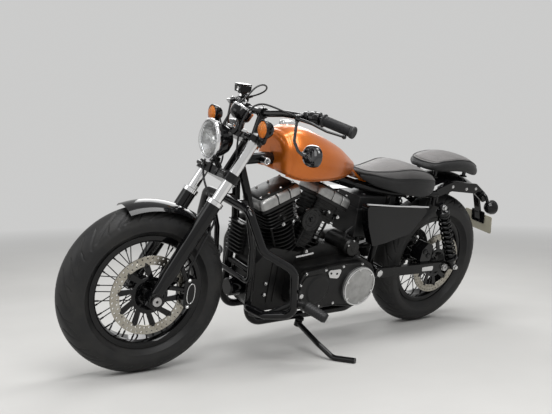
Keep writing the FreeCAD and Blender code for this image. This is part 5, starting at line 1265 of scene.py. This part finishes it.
def stuff(obj, held_at):
    """Swell a closed cover by air pressure in a cloth simulation, held at its underside and seams."""
    even = obj.modifiers.new("even", "REMESH")
    even.mode = "VOXEL"
    even.voxel_size = VOXEL_SIZE
    with_modifiers(obj)
    group = obj.vertex_groups.new(name="held")
    for vertex in obj.data.vertices:
        weight = held_at(FROM_ROW @ vertex.co)
        if weight > 0:
            group.add([vertex.index], weight, "REPLACE")
    rest = [vertex.co.copy() for vertex in obj.data.vertices]
    cloth = obj.modifiers.new("air", "CLOTH")
    cloth.settings.use_pressure = True
    cloth.settings.uniform_pressure_force = AIR_PRESSURE
    cloth.settings.effector_weights.gravity = 0.0
    cloth.settings.vertex_group_mass = "held"
    for number in range(1, AIR_FRAMES + 1):
        bpy.context.scene.frame_set(number)
    swollen = obj.evaluated_get(bpy.context.evaluated_depsgraph_get()).data
    places = [vertex.co.copy() for vertex in swollen.vertices]
    obj.modifiers.clear()
    bpy.context.scene.frame_set(1)
    for vertex, start, end in zip(obj.data.vertices, rest, places):
        move = end - start
        if move.length > SWELL_LIMIT:
            move *= SWELL_LIMIT / move.length
        vertex.co = start + move


def painted_light_tones(cover, sections, loop, band):
    """The top panel, the band and the sides told apart for the leather's painted light: the up-facing top panel
    painted lit, the band partly lit, the sides in painted shade.
    """
    tone = cover.data.attributes.new("panel", "FLOAT", "POINT")
    for vertex in cover.data.vertices:
        place = FROM_ROW @ vertex.co
        _, low, high = between(sections, place.x)
        up = (FROM_ROW.to_3x3() @ vertex.normal).normalized().z
        top = up > 0.1 and place.z > low + 0.5 * (high - low) and inside(loop, place.x, place.y)
        on_band = band and place.z > low + band * (high - low)
        tone.data[vertex.index].value = 1.0 if top else (0.3 if on_band else 0.0)


def drop_onto(surface, place):
    """The point of a cover straight below a place, or nothing where there is none."""
    hit = surface.ray_cast(UPRIGHT @ vec(place.x, place.y, 900), -UPWARD)[0]
    return FROM_ROW @ hit if hit else None


def panel_seams(surface, loop):
    """Piping round the top panel, with stitches inside it."""
    line = [point for point in (drop_onto(surface, place) for place in loop) if point]
    seams = [tube(line + line[:2], 2.6, 0, 10)]
    centre = sum(line, Vector()) / len(line)
    for here, after in zip(line, line[1:] + line[:1]):
        for start, end in ((0.12, 0.42), (0.62, 0.92)):
            pair = [here.lerp(after, t) for t in (start, end)]
            pair = [drop_onto(surface, p + (centre - p).normalized() * 8) for p in pair]
            if all(pair):
                seams.append(tube(pair, 0.9, 0, 5))
    return seams


def side_seam(surface, sections, band, side):
    """The seam along one side, at a share of the cover's height."""
    seam = []
    for k in range(SIDE_SEAM_POINTS):
        x = sections[-1][0] + 14 + (sections[0][0] - sections[-1][0] - 60) * k / (SIDE_SEAM_POINTS - 1)
        half, low, high = between(sections, x)
        start = UPRIGHT @ vec(x, side * (half + 60), low + band * (high - low))
        hit = surface.ray_cast(start, -LEFT * side)[0]
        if hit:
            seam.append(FROM_ROW @ hit)
    return tube(seam, 1.7, 0, 8)


def seat(name, node, sections, share, nose, tail, band):
    """A stuffed cover with piping and stitches round its top panel, and a seam along its sides."""
    loop = panel_loop(sections, share, nose, tail)
    cover = piece(name + "_cover", [seat_form(sections)], "seat", "chassis", stands_for=(node,))

    def near_loop(place):
        return min((place.xy - point.xy).length for point in loop)

    def held_at(place):
        _, low, high = between(sections, place.x)
        if place.z < low + 0.22 * (high - low):
            return 1.0
        if band and abs(place.z - (low + band * (high - low))) < 3.5:
            return 0.8
        return 0.9 if place.z > low + 0.5 * (high - low) and near_loop(place) < 5.0 else 0.0

    stuff(cover, held_at)
    # Painted light from above: the top panel is marked for the paler tone, and the sides for painted shade.
    painted_light_tones(cover, sections, loop, band)
    cover.data.materials.clear()
    cover.data.materials.append(MATERIALS["seat"])
    cover.data.shade_smooth()
    finer = cover.modifiers.new("smooth", "SUBSURF")
    finer.levels = finer.render_levels = 1
    surface = BVHTree.FromPolygons([vertex.co for vertex in cover.data.vertices],
                                   [tuple(face.vertices) for face in cover.data.polygons])
    seams = panel_seams(surface, loop)
    if band:
        seams += [side_seam(surface, sections, band, side) for side in (-1, 1)]
    piece(name + "_piping", seams, "rubber", "chassis")


def seat_skirt():
    """The leather apron that hangs from the seat's sides over the rails."""
    shapes = []
    for side in (-1, 1):
        rings = []
        for k in range(37):
            x = SKIRT[0][0] + (SKIRT[-1][0] - SKIRT[0][0]) * k / 36
            half, top, bottom = between(SKIRT, x)
            middle = (top + bottom) / 2
            outline = ((half - 9, top), (half - 1, top - 10), (half + 1, middle), (half - 1, bottom + 5),
                       (half - 5, bottom), (half - 9, bottom + 2), (half - 11, middle))
            rings.append([vec(x, side * y, z) for y, z in outline])
        shapes.append(lofted(rings))
    # The skirt carries no tone mark, so it takes the leather's darker side tone, which is painted shade.
    piece("rider_skirt", shapes, "seat", "chassis", subdivide=1)


def pillion_posts():
    """Four posts from the rear fender's crown to the pillion seat."""
    shapes = []
    for x in (104, -100):
        foot = REAR_RADIUS + math.sqrt(FENDER_RADIUS ** 2 - x ** 2)
        for y in (-52, 52):
            shapes.append(rod(vec(x, y, foot - 4), vec(x, y, between(PILLION_SECTIONS, x)[1] + 8), 9, 20))
            shapes.append(knob([(0, 17), (4, 17), (6, 12)], vec(x, y, foot - 2), Z_AXIS, 28))
    piece("pillion_posts", shapes, "black_paint", "chassis")


def rider_seat_pan():
    """The pan under the rider's cover."""
    rings = []
    for x in range(160, 561, 20):
        half, low, high = between(RIDER_SECTIONS, x)
        ring = squeezed(seat_ring(x, half, low, high), x, 0.93, vec(0, 0, low + 8))
        rings.append([vec(p.x, p.y, low + (2 if p.z > low + 20 else -3)) for p in ring])
    piece("rider_seat_pan", [lofted(rings)], "plastic", "chassis")


seat("rider", "rider_seat", RIDER_SECTIONS, 0.74, 566, 158, 0.5)
seat("pillion", "pillion_seat", PILLION_SECTIONS, 0.84, 156, -174, 0.0)
seat_skirt()
pillion_posts()
rider_seat_pan()


# Engine

CRANK = vec(857, 0, 330)
CYLINDER_LEAN = math.radians(22.5)
ROCKER_SEAMS = (8.0, -50.0)
# Each row: height above the crank, and how far the outline is drawn in
ROCKER_BASE = ((336.4, 0.8), (337.2, 0), (349, 0), (350, 2), (350, 8))
# The lid is drawn in engine black as painted shade: it stands for the tank's shadow on a bright lid.
ROCKER_SHADED_LID = ((349, 9), (390.5, 13), (394, 17), (397, 18.5), (398, 21))
ROCKER_SIDE = ((350.5, 1.5), (351.5, 0.3), (374, 0), (380, 1.4), (385, 4.5), (389, 9), (391.5, 14.5))


def cylinder_axes(sign):
    """The front (1) or rear (-1) cylinder's own axis, and the one across it."""
    angle = CYLINDER_LEAN * sign
    axis = vec(math.sin(angle), 0, math.cos(angle))
    return axis, vec(axis.z, 0, -axis.x)


def corner_arc(before, corner, after, bend):
    """The short arc at one corner."""
    return rounded([before, corner, after], bend, steps=6)[1:-1]


def rocker_ring(sign, height, rear, front, side, rear_bend, front_bend):
    """A rounded rectangle across a cylinder, at a height above the crank."""
    axis, across = cylinder_axes(sign)
    corners = [(rear, -side, rear_bend), (front, -side, front_bend), (front, side, front_bend),
               (rear, side, rear_bend)]
    points = [CRANK + axis * height + across * a + vec(0, b, 0) for a, b, _ in corners]
    ring = []
    for index, (_, _, bend) in enumerate(corners):
        ring += corner_arc(points[index - 1], points[index], points[(index + 1) % 4], bend)
    return ring


def rocker_covers():
    """A black base, a lid made black as painted shade from the tank above, a bright cover in three parts, and
    bolts on each cylinder.
    """
    black, bright, bolts = [], [], []
    rear_seam, front_seam = ROCKER_SEAMS[1], ROCKER_SEAMS[0]
    spans = ((-111, rear_seam - 1.7, 27, 3), (rear_seam + 1.7, front_seam - 1.7, 3, 3),
             (front_seam + 1.7, 90, 3, 27))
    for sign in (1, -1):
        axis, across = cylinder_axes(sign)
        # The base and the lid go in black; the lid's black is painted shade for the shadow under the tank.
        for bend, table in ((28, ROCKER_BASE), (26, ROCKER_SHADED_LID)):
            black.append(lofted([rocker_ring(sign, h, -112 + s, 91 - s, 74 - s, bend, bend)
                                 for h, s in table]))
        for rear, front, rear_bend, front_bend in spans:
            rings = []
            for h, s in ROCKER_SIDE:
                tail = s if rear_bend > 10 else min(s, 1.2)
                nose = s if front_bend > 10 else min(s, 1.2)
                rings.append(rocker_ring(sign, h, rear + tail, front - nose, 73.5 - s, rear_bend, front_bend))
            bright.append(lofted(rings))
        for a in (-88, -30, 28, 68):
            for y in (-44, 44):
                bolts.append(bolt(CRANK + axis * 397.5 + across * a + vec(0, y, 0), axis, 4.6, 4))
    piece("rocker_bases_and_shaded_lids", black, "engine_black", "chassis", stands_for=("rocker_boxes",), bevel=0.6)
    piece("rocker_sides", bright, "silver_cast", "chassis", bevel=0.7)
    piece("rocker_bolts", bolts, "polished", "chassis")


def cylinder_head_details():
    """The finned heads with their plugs and studs, and the bolts on their left side."""
    shapes = []
    for place in (vec(961, 72, 567), vec(887, 62, 589), vec(734, 72, 606), vec(679, 72, 582)):
        shapes.append(rod(place - vec(0, 26, 0), place, 7, 16, 1))
        shapes.append(bolt(place, Y_AXIS, 5.5, 6))
    piece("head_bolts", shapes, "polished", "chassis")
    heads = []
    for sign in (1, -1):
        axis, across = cylinder_axes(sign)
        for fin in range(262, 323, 15):
            heads.append(lofted([rocker_ring(sign, fin + d, -78 + s, 74 - s, 72 - s, 24, 24)
                                 for d, s in ((0, 0.8), (1, 0), (3, 0), (4, 0.8))]))
        heads.append(lofted([rocker_ring(sign, h, -66, 64, 60, 20, 20) for h in (258, 336)]))
        plug = CRANK + axis * 292 + across * 8
        heads.append(knob([(58, 13), (70, 13), (74, 9), (90, 8), (92, 5)], plug, Y_AXIS, 24, 1))
        for a in (-70, 66):
            for y in (-60, 60):
                low, high = [CRANK + axis * h + across * a * 0.72 + vec(0, y * 0.72, 0) for h in (118, 262)]
                heads.append(rod(low, high, 5.5, 12))
    piece("cylinder_heads", heads, "engine_black", "chassis")


PRIMARY_RIM = [(892, 250), (894, 330), (872, 380), (768, 391), (664, 399), (552, 398), (690, 221),
               (776, 222), (862, 225)]
PRIMARY_BEAD = [(892, 250), (894, 330), (872, 380), (664, 399), (552, 398), (484, 362), (470, 296),
                (492, 226), (566, 202), (690, 221), (862, 225)]
PRIMARY_PANEL = [(886, 234), (886, 330), (862, 364), (772, 366), (752, 336), (716, 316), (716, 242),
                 (745, 224), (862, 228)]
PRIMARY_MIDDLE = vec(700, 0, 306)
PRIMARY_FACE = 149.6
DERBY_FACE = 167.3
DERBY = vec(566, DERBY_FACE, 296)
SHIFT_SHAFT = vec(905, 118, 300)


def primary_screws(dark, bright):
    """Bolts on bosses round the primary cover, and the screws of the round covers."""
    for x, z in PRIMARY_RIM:
        inward = (PRIMARY_MIDDLE - vec(x, 0, z)).normalized() * 9
        place = vec(x, PRIMARY_FACE, z) + inward
        dark.append(rod(place - vec(0, 12, 0), place + vec(0, 1.2, 0), 9.5, 24, 1.5))
        bright.append(bolt(place + vec(0, 1.2, 0), Y_AXIS, 4.4, 4))
    for k in range(6):
        angle = math.radians(60 * k + 20)
        place = DERBY + vec(76 * math.cos(angle), -1.4, 76 * math.sin(angle))
        bright.append(knob([(0, 5), (1.6, 5), (2.8, 3.4), (2.8, 2.2), (1.4, 2.2)], place, Y_AXIS, 20))
    for x, z in ((735, 369), (702, 364)):
        dark.append(knob([(0, 4.6), (1.6, 4.6), (2.6, 3), (1.3, 2)], vec(x, 156.3, z), Y_AXIS, 20))


def starter_and_bosses(dark, bright):
    """The starter's end with its lead, the case's front bosses and the chrome brace."""
    for place in (vec(632, 120, 470), vec(580, 120, 446), vec(606, 120, 486)):
        bright.append(bolt(place, Y_AXIS, 5, 5))
    end = [(118, 34), (124, 34), (126, 31), (126, 12), (128, 10)]
    dark.append(knob(end, vec(606, 0, 456), Y_AXIS, 48, 1.5))
    dark.append(tube([vec(640, 96, 492), vec(640, 96, 520), vec(600, 90, 540)], 5, 20, 12))
    for place in (vec(1001, 66, 318), vec(1000, 66, 270), vec(952, 66, 420)):
        dark.append(rod(place - vec(0, 20, 0), place + vec(0, 6, 0), 10, 20, 1.5))
        bright.append(bolt(place + vec(0, 6, 0), Y_AXIS, 5, 5))
    bright.append(tube([vec(872, 74, 421), vec(828, 76, 426), vec(782, 74, 431)], 6.5, 10, 14))
    bright.append(bolt(vec(822, 78, 444), Y_AXIS, 5, 5))
    dark.append(cuboid((808, 40, 414), (836, 78, 452)))


def shift_linkage(dark, bright):
    """The shift shaft with its crank, and the rod to the pedal."""
    crank = [SHIFT_SHAFT + vec(0, 58, 0), SHIFT_SHAFT + vec(-14, 60, -36), SHIFT_SHAFT + vec(-20, 66, -64)]
    dark.append(rod(SHIFT_SHAFT, SHIFT_SHAFT + vec(0, 66, 0), 9, 24, 1.5))
    dark.append(tube(crank, 6.5, 10, 16))
    ends = [SHIFT_SHAFT + vec(-20, 72, -62), vec(1010, 268, 334)]
    dark.append(tube(ends, 4.5, 0, 12))
    for place in ends:
        bright.append(knob([(-7, 7), (7, 7)], place, Y_AXIS, 6))
    bright.append(knob([(0, 11), (5, 11), (7, 8)], SHIFT_SHAFT + vec(0, 66, 0), Y_AXIS, 6))


def case_details():
    """What stands on the left of the engine: screws, bosses, linkage, bead, panel and ribs."""
    dark, bright = [], []
    primary_screws(dark, bright)
    starter_and_bosses(dark, bright)
    shift_linkage(dark, bright)
    bead = cleaned(rounded([vec(x, 149.2, z) for x, z in PRIMARY_BEAD], 55, True))
    dark.append(tube(bead + bead[:2], 3.4, 0, 10))
    dark.append(prism(PRIMARY_PANEL, 149, 153.4, 26))
    for x in (948, 978):
        dark.append(prism([(x, 232), (x + 7, 232), (x + 7, 250), (x + 2, 404), (x - 2, 404)], 60, 72, 2))
    piece("case_bosses", dark, "engine_black", "chassis", bevel=0.7)
    piece("case_bolts", bright, "polished", "chassis")
    ring = [(0, 79.5), (1.5, 81), (1.5, 83.5), (0.3, 85.5), (-1, 85.5), (-1, 79.5)]
    piece("derby_rim", [turned(ring, DERBY, Y_AXIS, 96)], "polished", "chassis")


GEARCASE_RIM = [(1000, 290), (985, 385), (900, 430), (790, 425), (700, 372), (690, 250), (760, 205),
                (920, 205)]
GEARCASE_MIDDLE = vec(845, 0, 318)
AIR_CLEANER = vec(853, -170, 590)


def right_covers():
    """The gearcase bolts, and the air cleaner's cover with its screws and middle nut."""
    bright = []
    for x, z in GEARCASE_RIM:
        inward = (GEARCASE_MIDDLE - vec(x, 0, z)).normalized() * 22
        bright.append(bolt(vec(x, -115.6, z) + inward, -Y_AXIS, 4.6, 4))
    for k in range(3):
        angle = math.radians(90 + 120 * k)
        place = AIR_CLEANER + vec(44 * math.cos(angle), -1.6, 44 * math.sin(angle))
        bright.append(bolt(place, -Y_AXIS, 5, 3, 20))
    bright.append(turned([(4, 0), (4, 13), (7, 11), (8, 0)], AIR_CLEANER, -Y_AXIS, 40))
    outline = [(-51, 88), (-14, 93.5), (-4, 87), (0, 70), (1.8, 60), (1.8, 22), (5, 18), (5, 0), (-51, 0)]
    cover = turned(outline, AIR_CLEANER, -Y_AXIS, 96, 2)
    piece("right_cover_plate", [cover], "black_paint", "chassis", stands_for=("air_cleaner",))
    piece("right_cover_bolts", bright, "polished", "chassis")


def pulley_bolts():
    """Six bolts on the rear pulley's face."""
    bolts = []
    for k in range(6):
        angle = 2 * math.pi * k / 6
        place = vec(70 * math.sin(angle), -101, REAR_RADIUS + 70 * math.cos(angle))
        bolts.append(knob([(0, 6), (3, 6), (4, 4)], place, -Y_AXIS, 18))
    piece("pulley_bolts", bolts, "polished", "rear_wheel")


def muffler_bands():
    """Two clamps round each muffler, square to its rising axis."""
    band = [(-7, 36), (-7, 38), (7, 38), (7, 36)]
    clamps = [turned(band, vec(x, -228, z), vec(-1, 0, rise), 56, 0.6)
              for x, z, rise in ((330, 283, 0.032), (60, 291, 0.032), (330, 380, 0.054), (60, 394, 0.054))]
    piece("muffler_bands", clamps, "chrome", "chassis")


def oil_filter_flutes():
    """Ribs for the wrench round the filter's end."""
    flutes = []
    for k in range(14):
        angle = 2 * math.pi * k / 14
        spoke = vec(0, math.cos(angle), math.sin(angle)) * 34.5
        flutes.append(rod(vec(1112, 0, 290) + spoke, vec(1134, 0, 290) + spoke, 3, 8))
    piece("oil_filter_flutes", flutes, "black_paint", "chassis")


def horn_face():
    """The horn's bowl with its ribbed face and rim."""
    centre = vec(845, 76, 590)
    profile = [(0, 0), (0, 40), (14, 47.5), (22, 48), (26, 46), (28, 42), (24, 38), (24, 30), (27, 27),
               (27, 22), (24, 19), (24, 10), (31, 9), (33.5, 6), (33.5, 0)]
    shapes = [turned(profile, centre, Y_AXIS, 72, 1), rod(vec(845, 31, 590), centre + vec(0, 4, 0), 10)]
    piece("horn_body", shapes, "black_paint", "chassis", stands_for=("horn",))
    ring = turned([(20, 46.5), (20, 49), (27, 48.5), (28, 44), (25, 43.5)], centre, Y_AXIS, 72, 1)
    piece("horn_ring", [ring], "engine_black", "chassis")


rocker_covers()
cylinder_head_details()
case_details()
right_covers()
pulley_bolts()
muffler_bands()
oil_filter_flutes()
horn_face()


# Rear end

SHOCK_TOP = vec(133, 154, 632)
SHOCK_BOTTOM = vec(-40, 154, 330)
COIL_TURNS = 9
COIL_STEPS = 20
COIL_WIRE = 4.6
COIL_RADIUS = 24.5


def rear_shocks():
    """Both shocks: body, spring seats, coil and end bolts."""
    along = (SHOCK_BOTTOM - SHOCK_TOP).normalized()
    length = (SHOCK_BOTTOM - SHOCK_TOP).length
    body = [(-16, 0), (-16, 12), (-10, 14), (14, 14), (18, 16), (22, 29), (26, 30), (38, 30), (40, 27),
            (42, 17)]
    body += [(length + s, radius) for s, radius in ((-62, 17), (-60, 27), (-57, 30), (-48, 30), (-44, 20),
                                                    (-20, 14), (10, 14), (15, 11), (15, 0))]
    shapes = [turned(body, SHOCK_TOP, along, 48, 1.5)]
    side = along.cross(Y_AXIS).normalized()
    coil = []
    start, end = 44.0, length - 63
    count = COIL_TURNS * COIL_STEPS
    for k in range(count + 1):
        t = k / count
        angle = 2 * math.pi * COIL_TURNS * t
        coil.append(SHOCK_TOP + along * (start + (end - start) * t) + side * (COIL_RADIUS * math.cos(angle))
                    + Y_AXIS * (COIL_RADIUS * math.sin(angle)))
    shapes.append(tube(coil, COIL_WIRE, 0, 10))
    piece("shock_bodies", both(*shapes), "black_paint", "chassis", stands_for=("rear_shocks",))
    caps = []
    for place in (SHOCK_TOP, SHOCK_BOTTOM):
        caps.append(knob([(13, 12), (16, 12), (16, 9), (25, 9), (26, 7)], place, Y_AXIS, 28))
    piece("shock_bolts", both(*caps), "polished", "chassis")


def rear_bolts():
    """The bolts of the seat rails, fender struts and swingarm, with the axle nuts."""
    small = []
    for y, size, places in ((117.5, 4.5, ((332, 677), (296, 678), (258, 679))),
                            (102, 5.5, ((20, 706), (-150, 692), (-82, 692)))):
        for x, z in places:
            small.append(bolt(vec(x, y, z), Y_AXIS, size, 4))
            small.append(bolt(vec(x, -y, z), -Y_AXIS, size, 4))
    for side in (-1, 1):
        outward = vec(0, side, 0)
        small.append(knob([(0, 20), (6, 20), (8, 17), (8, 10), (4, 10)], vec(0, side * 134, 323), outward, 6))
        small.append(bolt(vec(-56, side * 124, 323), -X_AXIS, 6, 6))
        small.append(knob([(0, 17), (4, 17), (6, 14)], vec(425, side * 134, 330), outward, 6))
    piece("rear_bolts", small, "polished", "chassis")


def rear_details():
    """The side cover's strip, rear bolts, arm plate, battery box and caliper caps."""
    strip = [vec(592, 145, 657), vec(420, 147, 643), vec(212, 145, 630)]
    piece("side_cover_strip", [tube(strip, 4.0, 60, 18)], "chrome", "chassis")
    rear_bolts()
    plate_face = prism([(150, 313), (150, 333), (76, 335), (76, 311)], 134.2, 136.6, 8)
    piece("arm_plate", [plate_face], "polished", "chassis", bevel=0.6)
    box = [cuboid((350, -70, 486), (566, 70, 664)), cuboid((344, -74, 600), (572, 74, 612))]
    terminals = [knob([(0, 9), (8, 9), (9, 7)], vec(x, 40, 663), Z_AXIS, 24) for x in (390, 520)]
    piece("battery_box", box + terminals, "plastic", "chassis", bevel=3)
    pads = [cuboid((92, y, 350), (146, y + 8, 356)) for y in (66, 94)]
    caps = [knob([(0, 13), (3, 13), (5, 10)], vec(x, 118, z), Y_AXIS, 32)
            for x, z in ((108, 382), (132, 402))]
    piece("rear_caliper_caps", pads + caps, "black_paint", "chassis")


PLATE_TILT = math.radians(14)
PLATE_TOP = vec(-350, 0, 552)
PLATE_DOWN = vec(-math.sin(PLATE_TILT), 0, -math.cos(PLATE_TILT))
PLATE_BACK = vec(-math.cos(PLATE_TILT), 0, math.sin(PLATE_TILT))
PLATE_HALF = 84.0
PLATE_START = 20.0
PLATE_END = 112.0
PLATE_INSET = 4.0


def plate_point(y, down, back=0.0):
    """A point on the plate by its side, its distance down and its height off the sheet."""
    return PLATE_TOP + PLATE_DOWN * down + PLATE_BACK * back + vec(0, y, 0)


def number_plate():
    """The blank plate with its pressed rim, on a black bracket."""
    corners = ((-PLATE_HALF, PLATE_START), (PLATE_HALF, PLATE_START), (PLATE_HALF, PLATE_END),
               (-PLATE_HALF, PLATE_END))
    sheet = extruded([plate_point(y, s, -1) for y, s in corners], PLATE_BACK * 1.6, 9)
    rim = [plate_point(y * (1 - PLATE_INSET / PLATE_HALF),
                       s + (PLATE_INSET if s == PLATE_START else -PLATE_INSET), 0.4) for y, s in corners]
    rim = cleaned(rounded(rim, 8, True))
    piece("plate_sheet", [sheet, tube(rim + rim[:2], 1.5, 0, 8)], "plate", "chassis", stands_for=("plate",))
    arm = prism([(-350, 548), (-294, 656), (-284, 650), (-338, 540), (-354, 500), (-362, 502)], -16, 16, 3)
    back = extruded([plate_point(y, s, -1.4) for y, s in ((-40, 6), (40, 6), (40, 70), (-40, 70))],
                    PLATE_BACK * -4, 8)
    piece("plate_bracket", [arm, back], "black_paint", "chassis", bevel=0.8)
    screws = [bolt(plate_point(y, 34, 0.8), PLATE_BACK, 3.6, 1.4, 20) for y in (-30, 30)]
    piece("plate_screws", screws, "polished", "chassis")


rear_shocks()
rear_details()
number_plate()


# Fork, caliper and pegs

def fork_details():
    """Caps, collars, clamp bolts and bosses on both legs, the stem nut and the riser bolts."""
    bright, dark = [], []
    for side in (-1, 1):
        leg = on_fork(0, 0, side * LEG_SIDE)
        outward = Y_AXIS * side
        bright.append(knob([(692, 19.5), (696, 19.5), (699, 16)], leg, STEER_UP, 40, 1))
        bright.append(knob([(698, 10.5), (707, 10.5), (708, 8)], leg, STEER_UP, 6))
        for up, ahead in ((LOWER_CLAMP, 34), (UPPER_CLAMP, 31)):
            spot = on_fork(up, ahead, side * 88)
            dark.append(rod(spot - outward * 10, spot + outward * 24, 8, 20, 1))
            bright.append(bolt(spot - outward * 10, -outward, 4.4, 4, 20))
        dark.append(turned([(-26, 21), (-26, 27), (26, 27), (26, 21)], leg, Y_AXIS, 40, 1))
        bright.append(bolt(on_fork(-26, 14, side * LEG_SIDE), -STEER_UP, 4.5, 4))
        collar = [(396, 24), (396, 30.5), (410, 30.5), (414, 27), (414, 21)]
        dark.append(turned(collar, leg, STEER_UP, 48, 1))
    bright.append(knob([(687, 19), (698, 19), (700, 16)], FRONT_AXLE, STEER_UP, 6))
    for y in (-64, 64):
        for ahead in (-14, 14):
            place = by_upper_clamp(-42.5, y, 96.6) + STEER_UP * 19 + STEER_AHEAD * ahead
            bright.append(bolt(place, STEER_UP, 3.8, 3, 20))
    piece("fork_bolts", bright, "polished", "fork", True)
    piece("fork_bosses", dark, "black_paint", "fork", True)


def front_caliper_face():
    """The caliper's outer cover with its raised oval line and bolts."""
    centre = FRONT_AXLE + vec(-146, 104.2, 8)

    def oval(width, height, out):
        line = []
        for k in range(40):
            angle = 2 * math.pi * k / 40
            long, wide = math.cos(angle), math.sin(angle)
            line.append(centre + vec(-2 * long + width * wide, out,
                                     height * math.copysign(abs(long) ** 0.8, long)))
        return line

    line = oval(15, 38, 0.6)
    piece("front_caliper_oval", [tube(line + line[:2], 1.7, 0, 10)], "polished", "fork", True)
    bolts = [bolt(centre + vec(10, 0, dz), Y_AXIS, 5, 4) for dz in (-50, 52)]
    piece("front_caliper_bolts", bolts, "polished", "fork", True)
    cover = extruded(oval(19, 43, 0), vec(0, 1.4, 0))
    piece("front_caliper_cover", [cover], "black_paint", "fork", True)


def pegs():
    """Eight rubber rings on each foot peg."""
    start = vec(991, 300, 324)
    along = vec(-64, 100, -34).normalized()
    rings = []
    for foot in range(17, 88, 10):
        outline = [(foot, 19), (foot, 20.8), (foot + 6, 20.8), (foot + 6, 19)]
        rings.append(turned(outline, start, along, 32, 0.6))
    piece("peg_rubbers", both(*rings), "rubber", "chassis")


def key_switch():
    """The lock's barrel and chrome ring below the tank's front."""
    foot = vec(1078, 14, 819)
    boss = rod(foot, foot + vec(0, 42, 0), 13, 32, 1.5)
    piece("key_switch", [boss], "black_paint", "chassis")
    face = [(42, 0), (42, 9), (44, 10), (44, 13.5), (40, 14.5), (38, 14.5), (38, 0)]
    piece("key_ring", [turned(face, foot, Y_AXIS, 40, 0.6)], "chrome", "chassis")


fork_details()
front_caliper_face()
pegs()
key_switch()


# Floor, light and camera

BACKDROP = (0.60, 0.60, 0.595)
FADE_START = 2.6
FADE_END = 6.5
WORLD_LIGHT = 0.48
FLOOR_REACH = 40.0


def background_rays(tree):
    """One for rays from the camera, a mirror or glass, and nought for the light on the object."""
    path = tree.nodes.new("ShaderNodeLightPath")
    seen = path.outputs["Is Camera Ray"]
    for kind in ("Is Glossy Ray", "Is Transmission Ray"):
        seen = calculate(tree, "MAXIMUM", seen, path.outputs[kind])
    return seen


def floor_finish():
    """A pale floor that fades into the plain background."""
    mat, tree, shader = new_material("studio_floor")
    tone = two_tones(tree, noise_of(tree, 1.5, 4.0), (0.56, 0.555, 0.54), (0.60, 0.595, 0.58), 0.3)
    set_inputs(tree, shader, Base_Color=tone, Roughness=0.7, Specular_IOR_Level=0.2)
    distance = tree.nodes.new("ShaderNodeVectorMath")
    distance.operation = "LENGTH"
    tree.links.new(object_place(tree), distance.inputs[0])
    fade = ramp(tree, distance.outputs["Value"], 0.0, 1.0, FADE_START, FADE_END)
    far = calculate(tree, "MULTIPLY", fade, background_rays(tree))
    glow = add(tree, "ShaderNodeEmission", Color=(*BACKDROP, 1), Strength=1.0)
    blend = tree.nodes.new("ShaderNodeMixShader")
    for index, output in enumerate((far, shader.outputs[0], glow.outputs[0])):
        tree.links.new(output, blend.inputs[index])
    tree.links.new(blend.outputs[0], tree.nodes["Material Output"].inputs["Surface"])
    return mat


def stage_floor():
    """A wide square of floor."""
    corners = [(-FLOOR_REACH, -FLOOR_REACH, 0), (FLOOR_REACH, -FLOOR_REACH, 0),
               (FLOOR_REACH, FLOOR_REACH, 0), (-FLOOR_REACH, FLOOR_REACH, 0)]
    mesh = bpy.data.meshes.new("floor")
    mesh.from_pydata(corners, [], [(0, 1, 2, 3)])
    mesh.materials.append(floor_finish())
    floor = bpy.data.objects.new("floor", mesh)
    bpy.context.scene.collection.objects.link(floor)


def area_light(name, place, target, width, power, depth):
    """A soft lamp that points at a target."""
    data = bpy.data.lights.new(name, "AREA")
    data.energy = power
    data.shape = "RECTANGLE"
    data.size = width
    data.size_y = depth
    lamp = bpy.data.objects.new(name, data)
    lamp.location = place
    lamp.rotation_euler = (Vector(target) - Vector(place)).to_track_quat("-Z", "Y").to_euler()
    bpy.context.scene.collection.objects.link(lamp)


def set_world():
    """Soft light from all round, with the plain background where it is seen."""
    world = bpy.data.worlds.new("studio")
    bpy.context.scene.world = world
    world.use_nodes = True
    tree = world.node_tree
    tree.nodes.clear()
    strength = ramp(tree, background_rays(tree), WORLD_LIGHT, 1.0)
    background = add(tree, "ShaderNodeBackground", Color=(*BACKDROP, 1), Strength=strength)
    add(tree, "ShaderNodeOutputWorld", Surface=background.outputs[0])


def set_camera():
    """The photograph's viewing angle, from the rear axle."""
    data = bpy.data.cameras.new("camera")
    data.lens = CAMERA_LENS
    data.sensor_width = 36.0
    camera = bpy.data.objects.new("camera", data)
    camera.location = HUB + CAMERA_FROM_REAR_AXLE
    camera.rotation_euler = [math.radians(angle) for angle in CAMERA_ANGLES]
    bpy.context.scene.collection.objects.link(camera)
    bpy.context.scene.camera = camera


stage_floor()
set_world()
area_light("key", (1.4, 2.6, 3.6), (0, 0, 0.4), 2.4, 116, 2.4)
area_light("fill", (3.4, -0.8, 1.8), (0.2, 0, 0.5), 2.0, 22, 2.0)
area_light("back", (-1.8, -2.8, 2.8), (0, 0, 0.5), 2.4, 60, 2.4)
area_light("top", (0.0, 0.3, 3.4), (0, 0, 0), 2.8, 60, 1.0)
set_camera()

bpy.context.scene.view_settings.view_transform = "Standard"
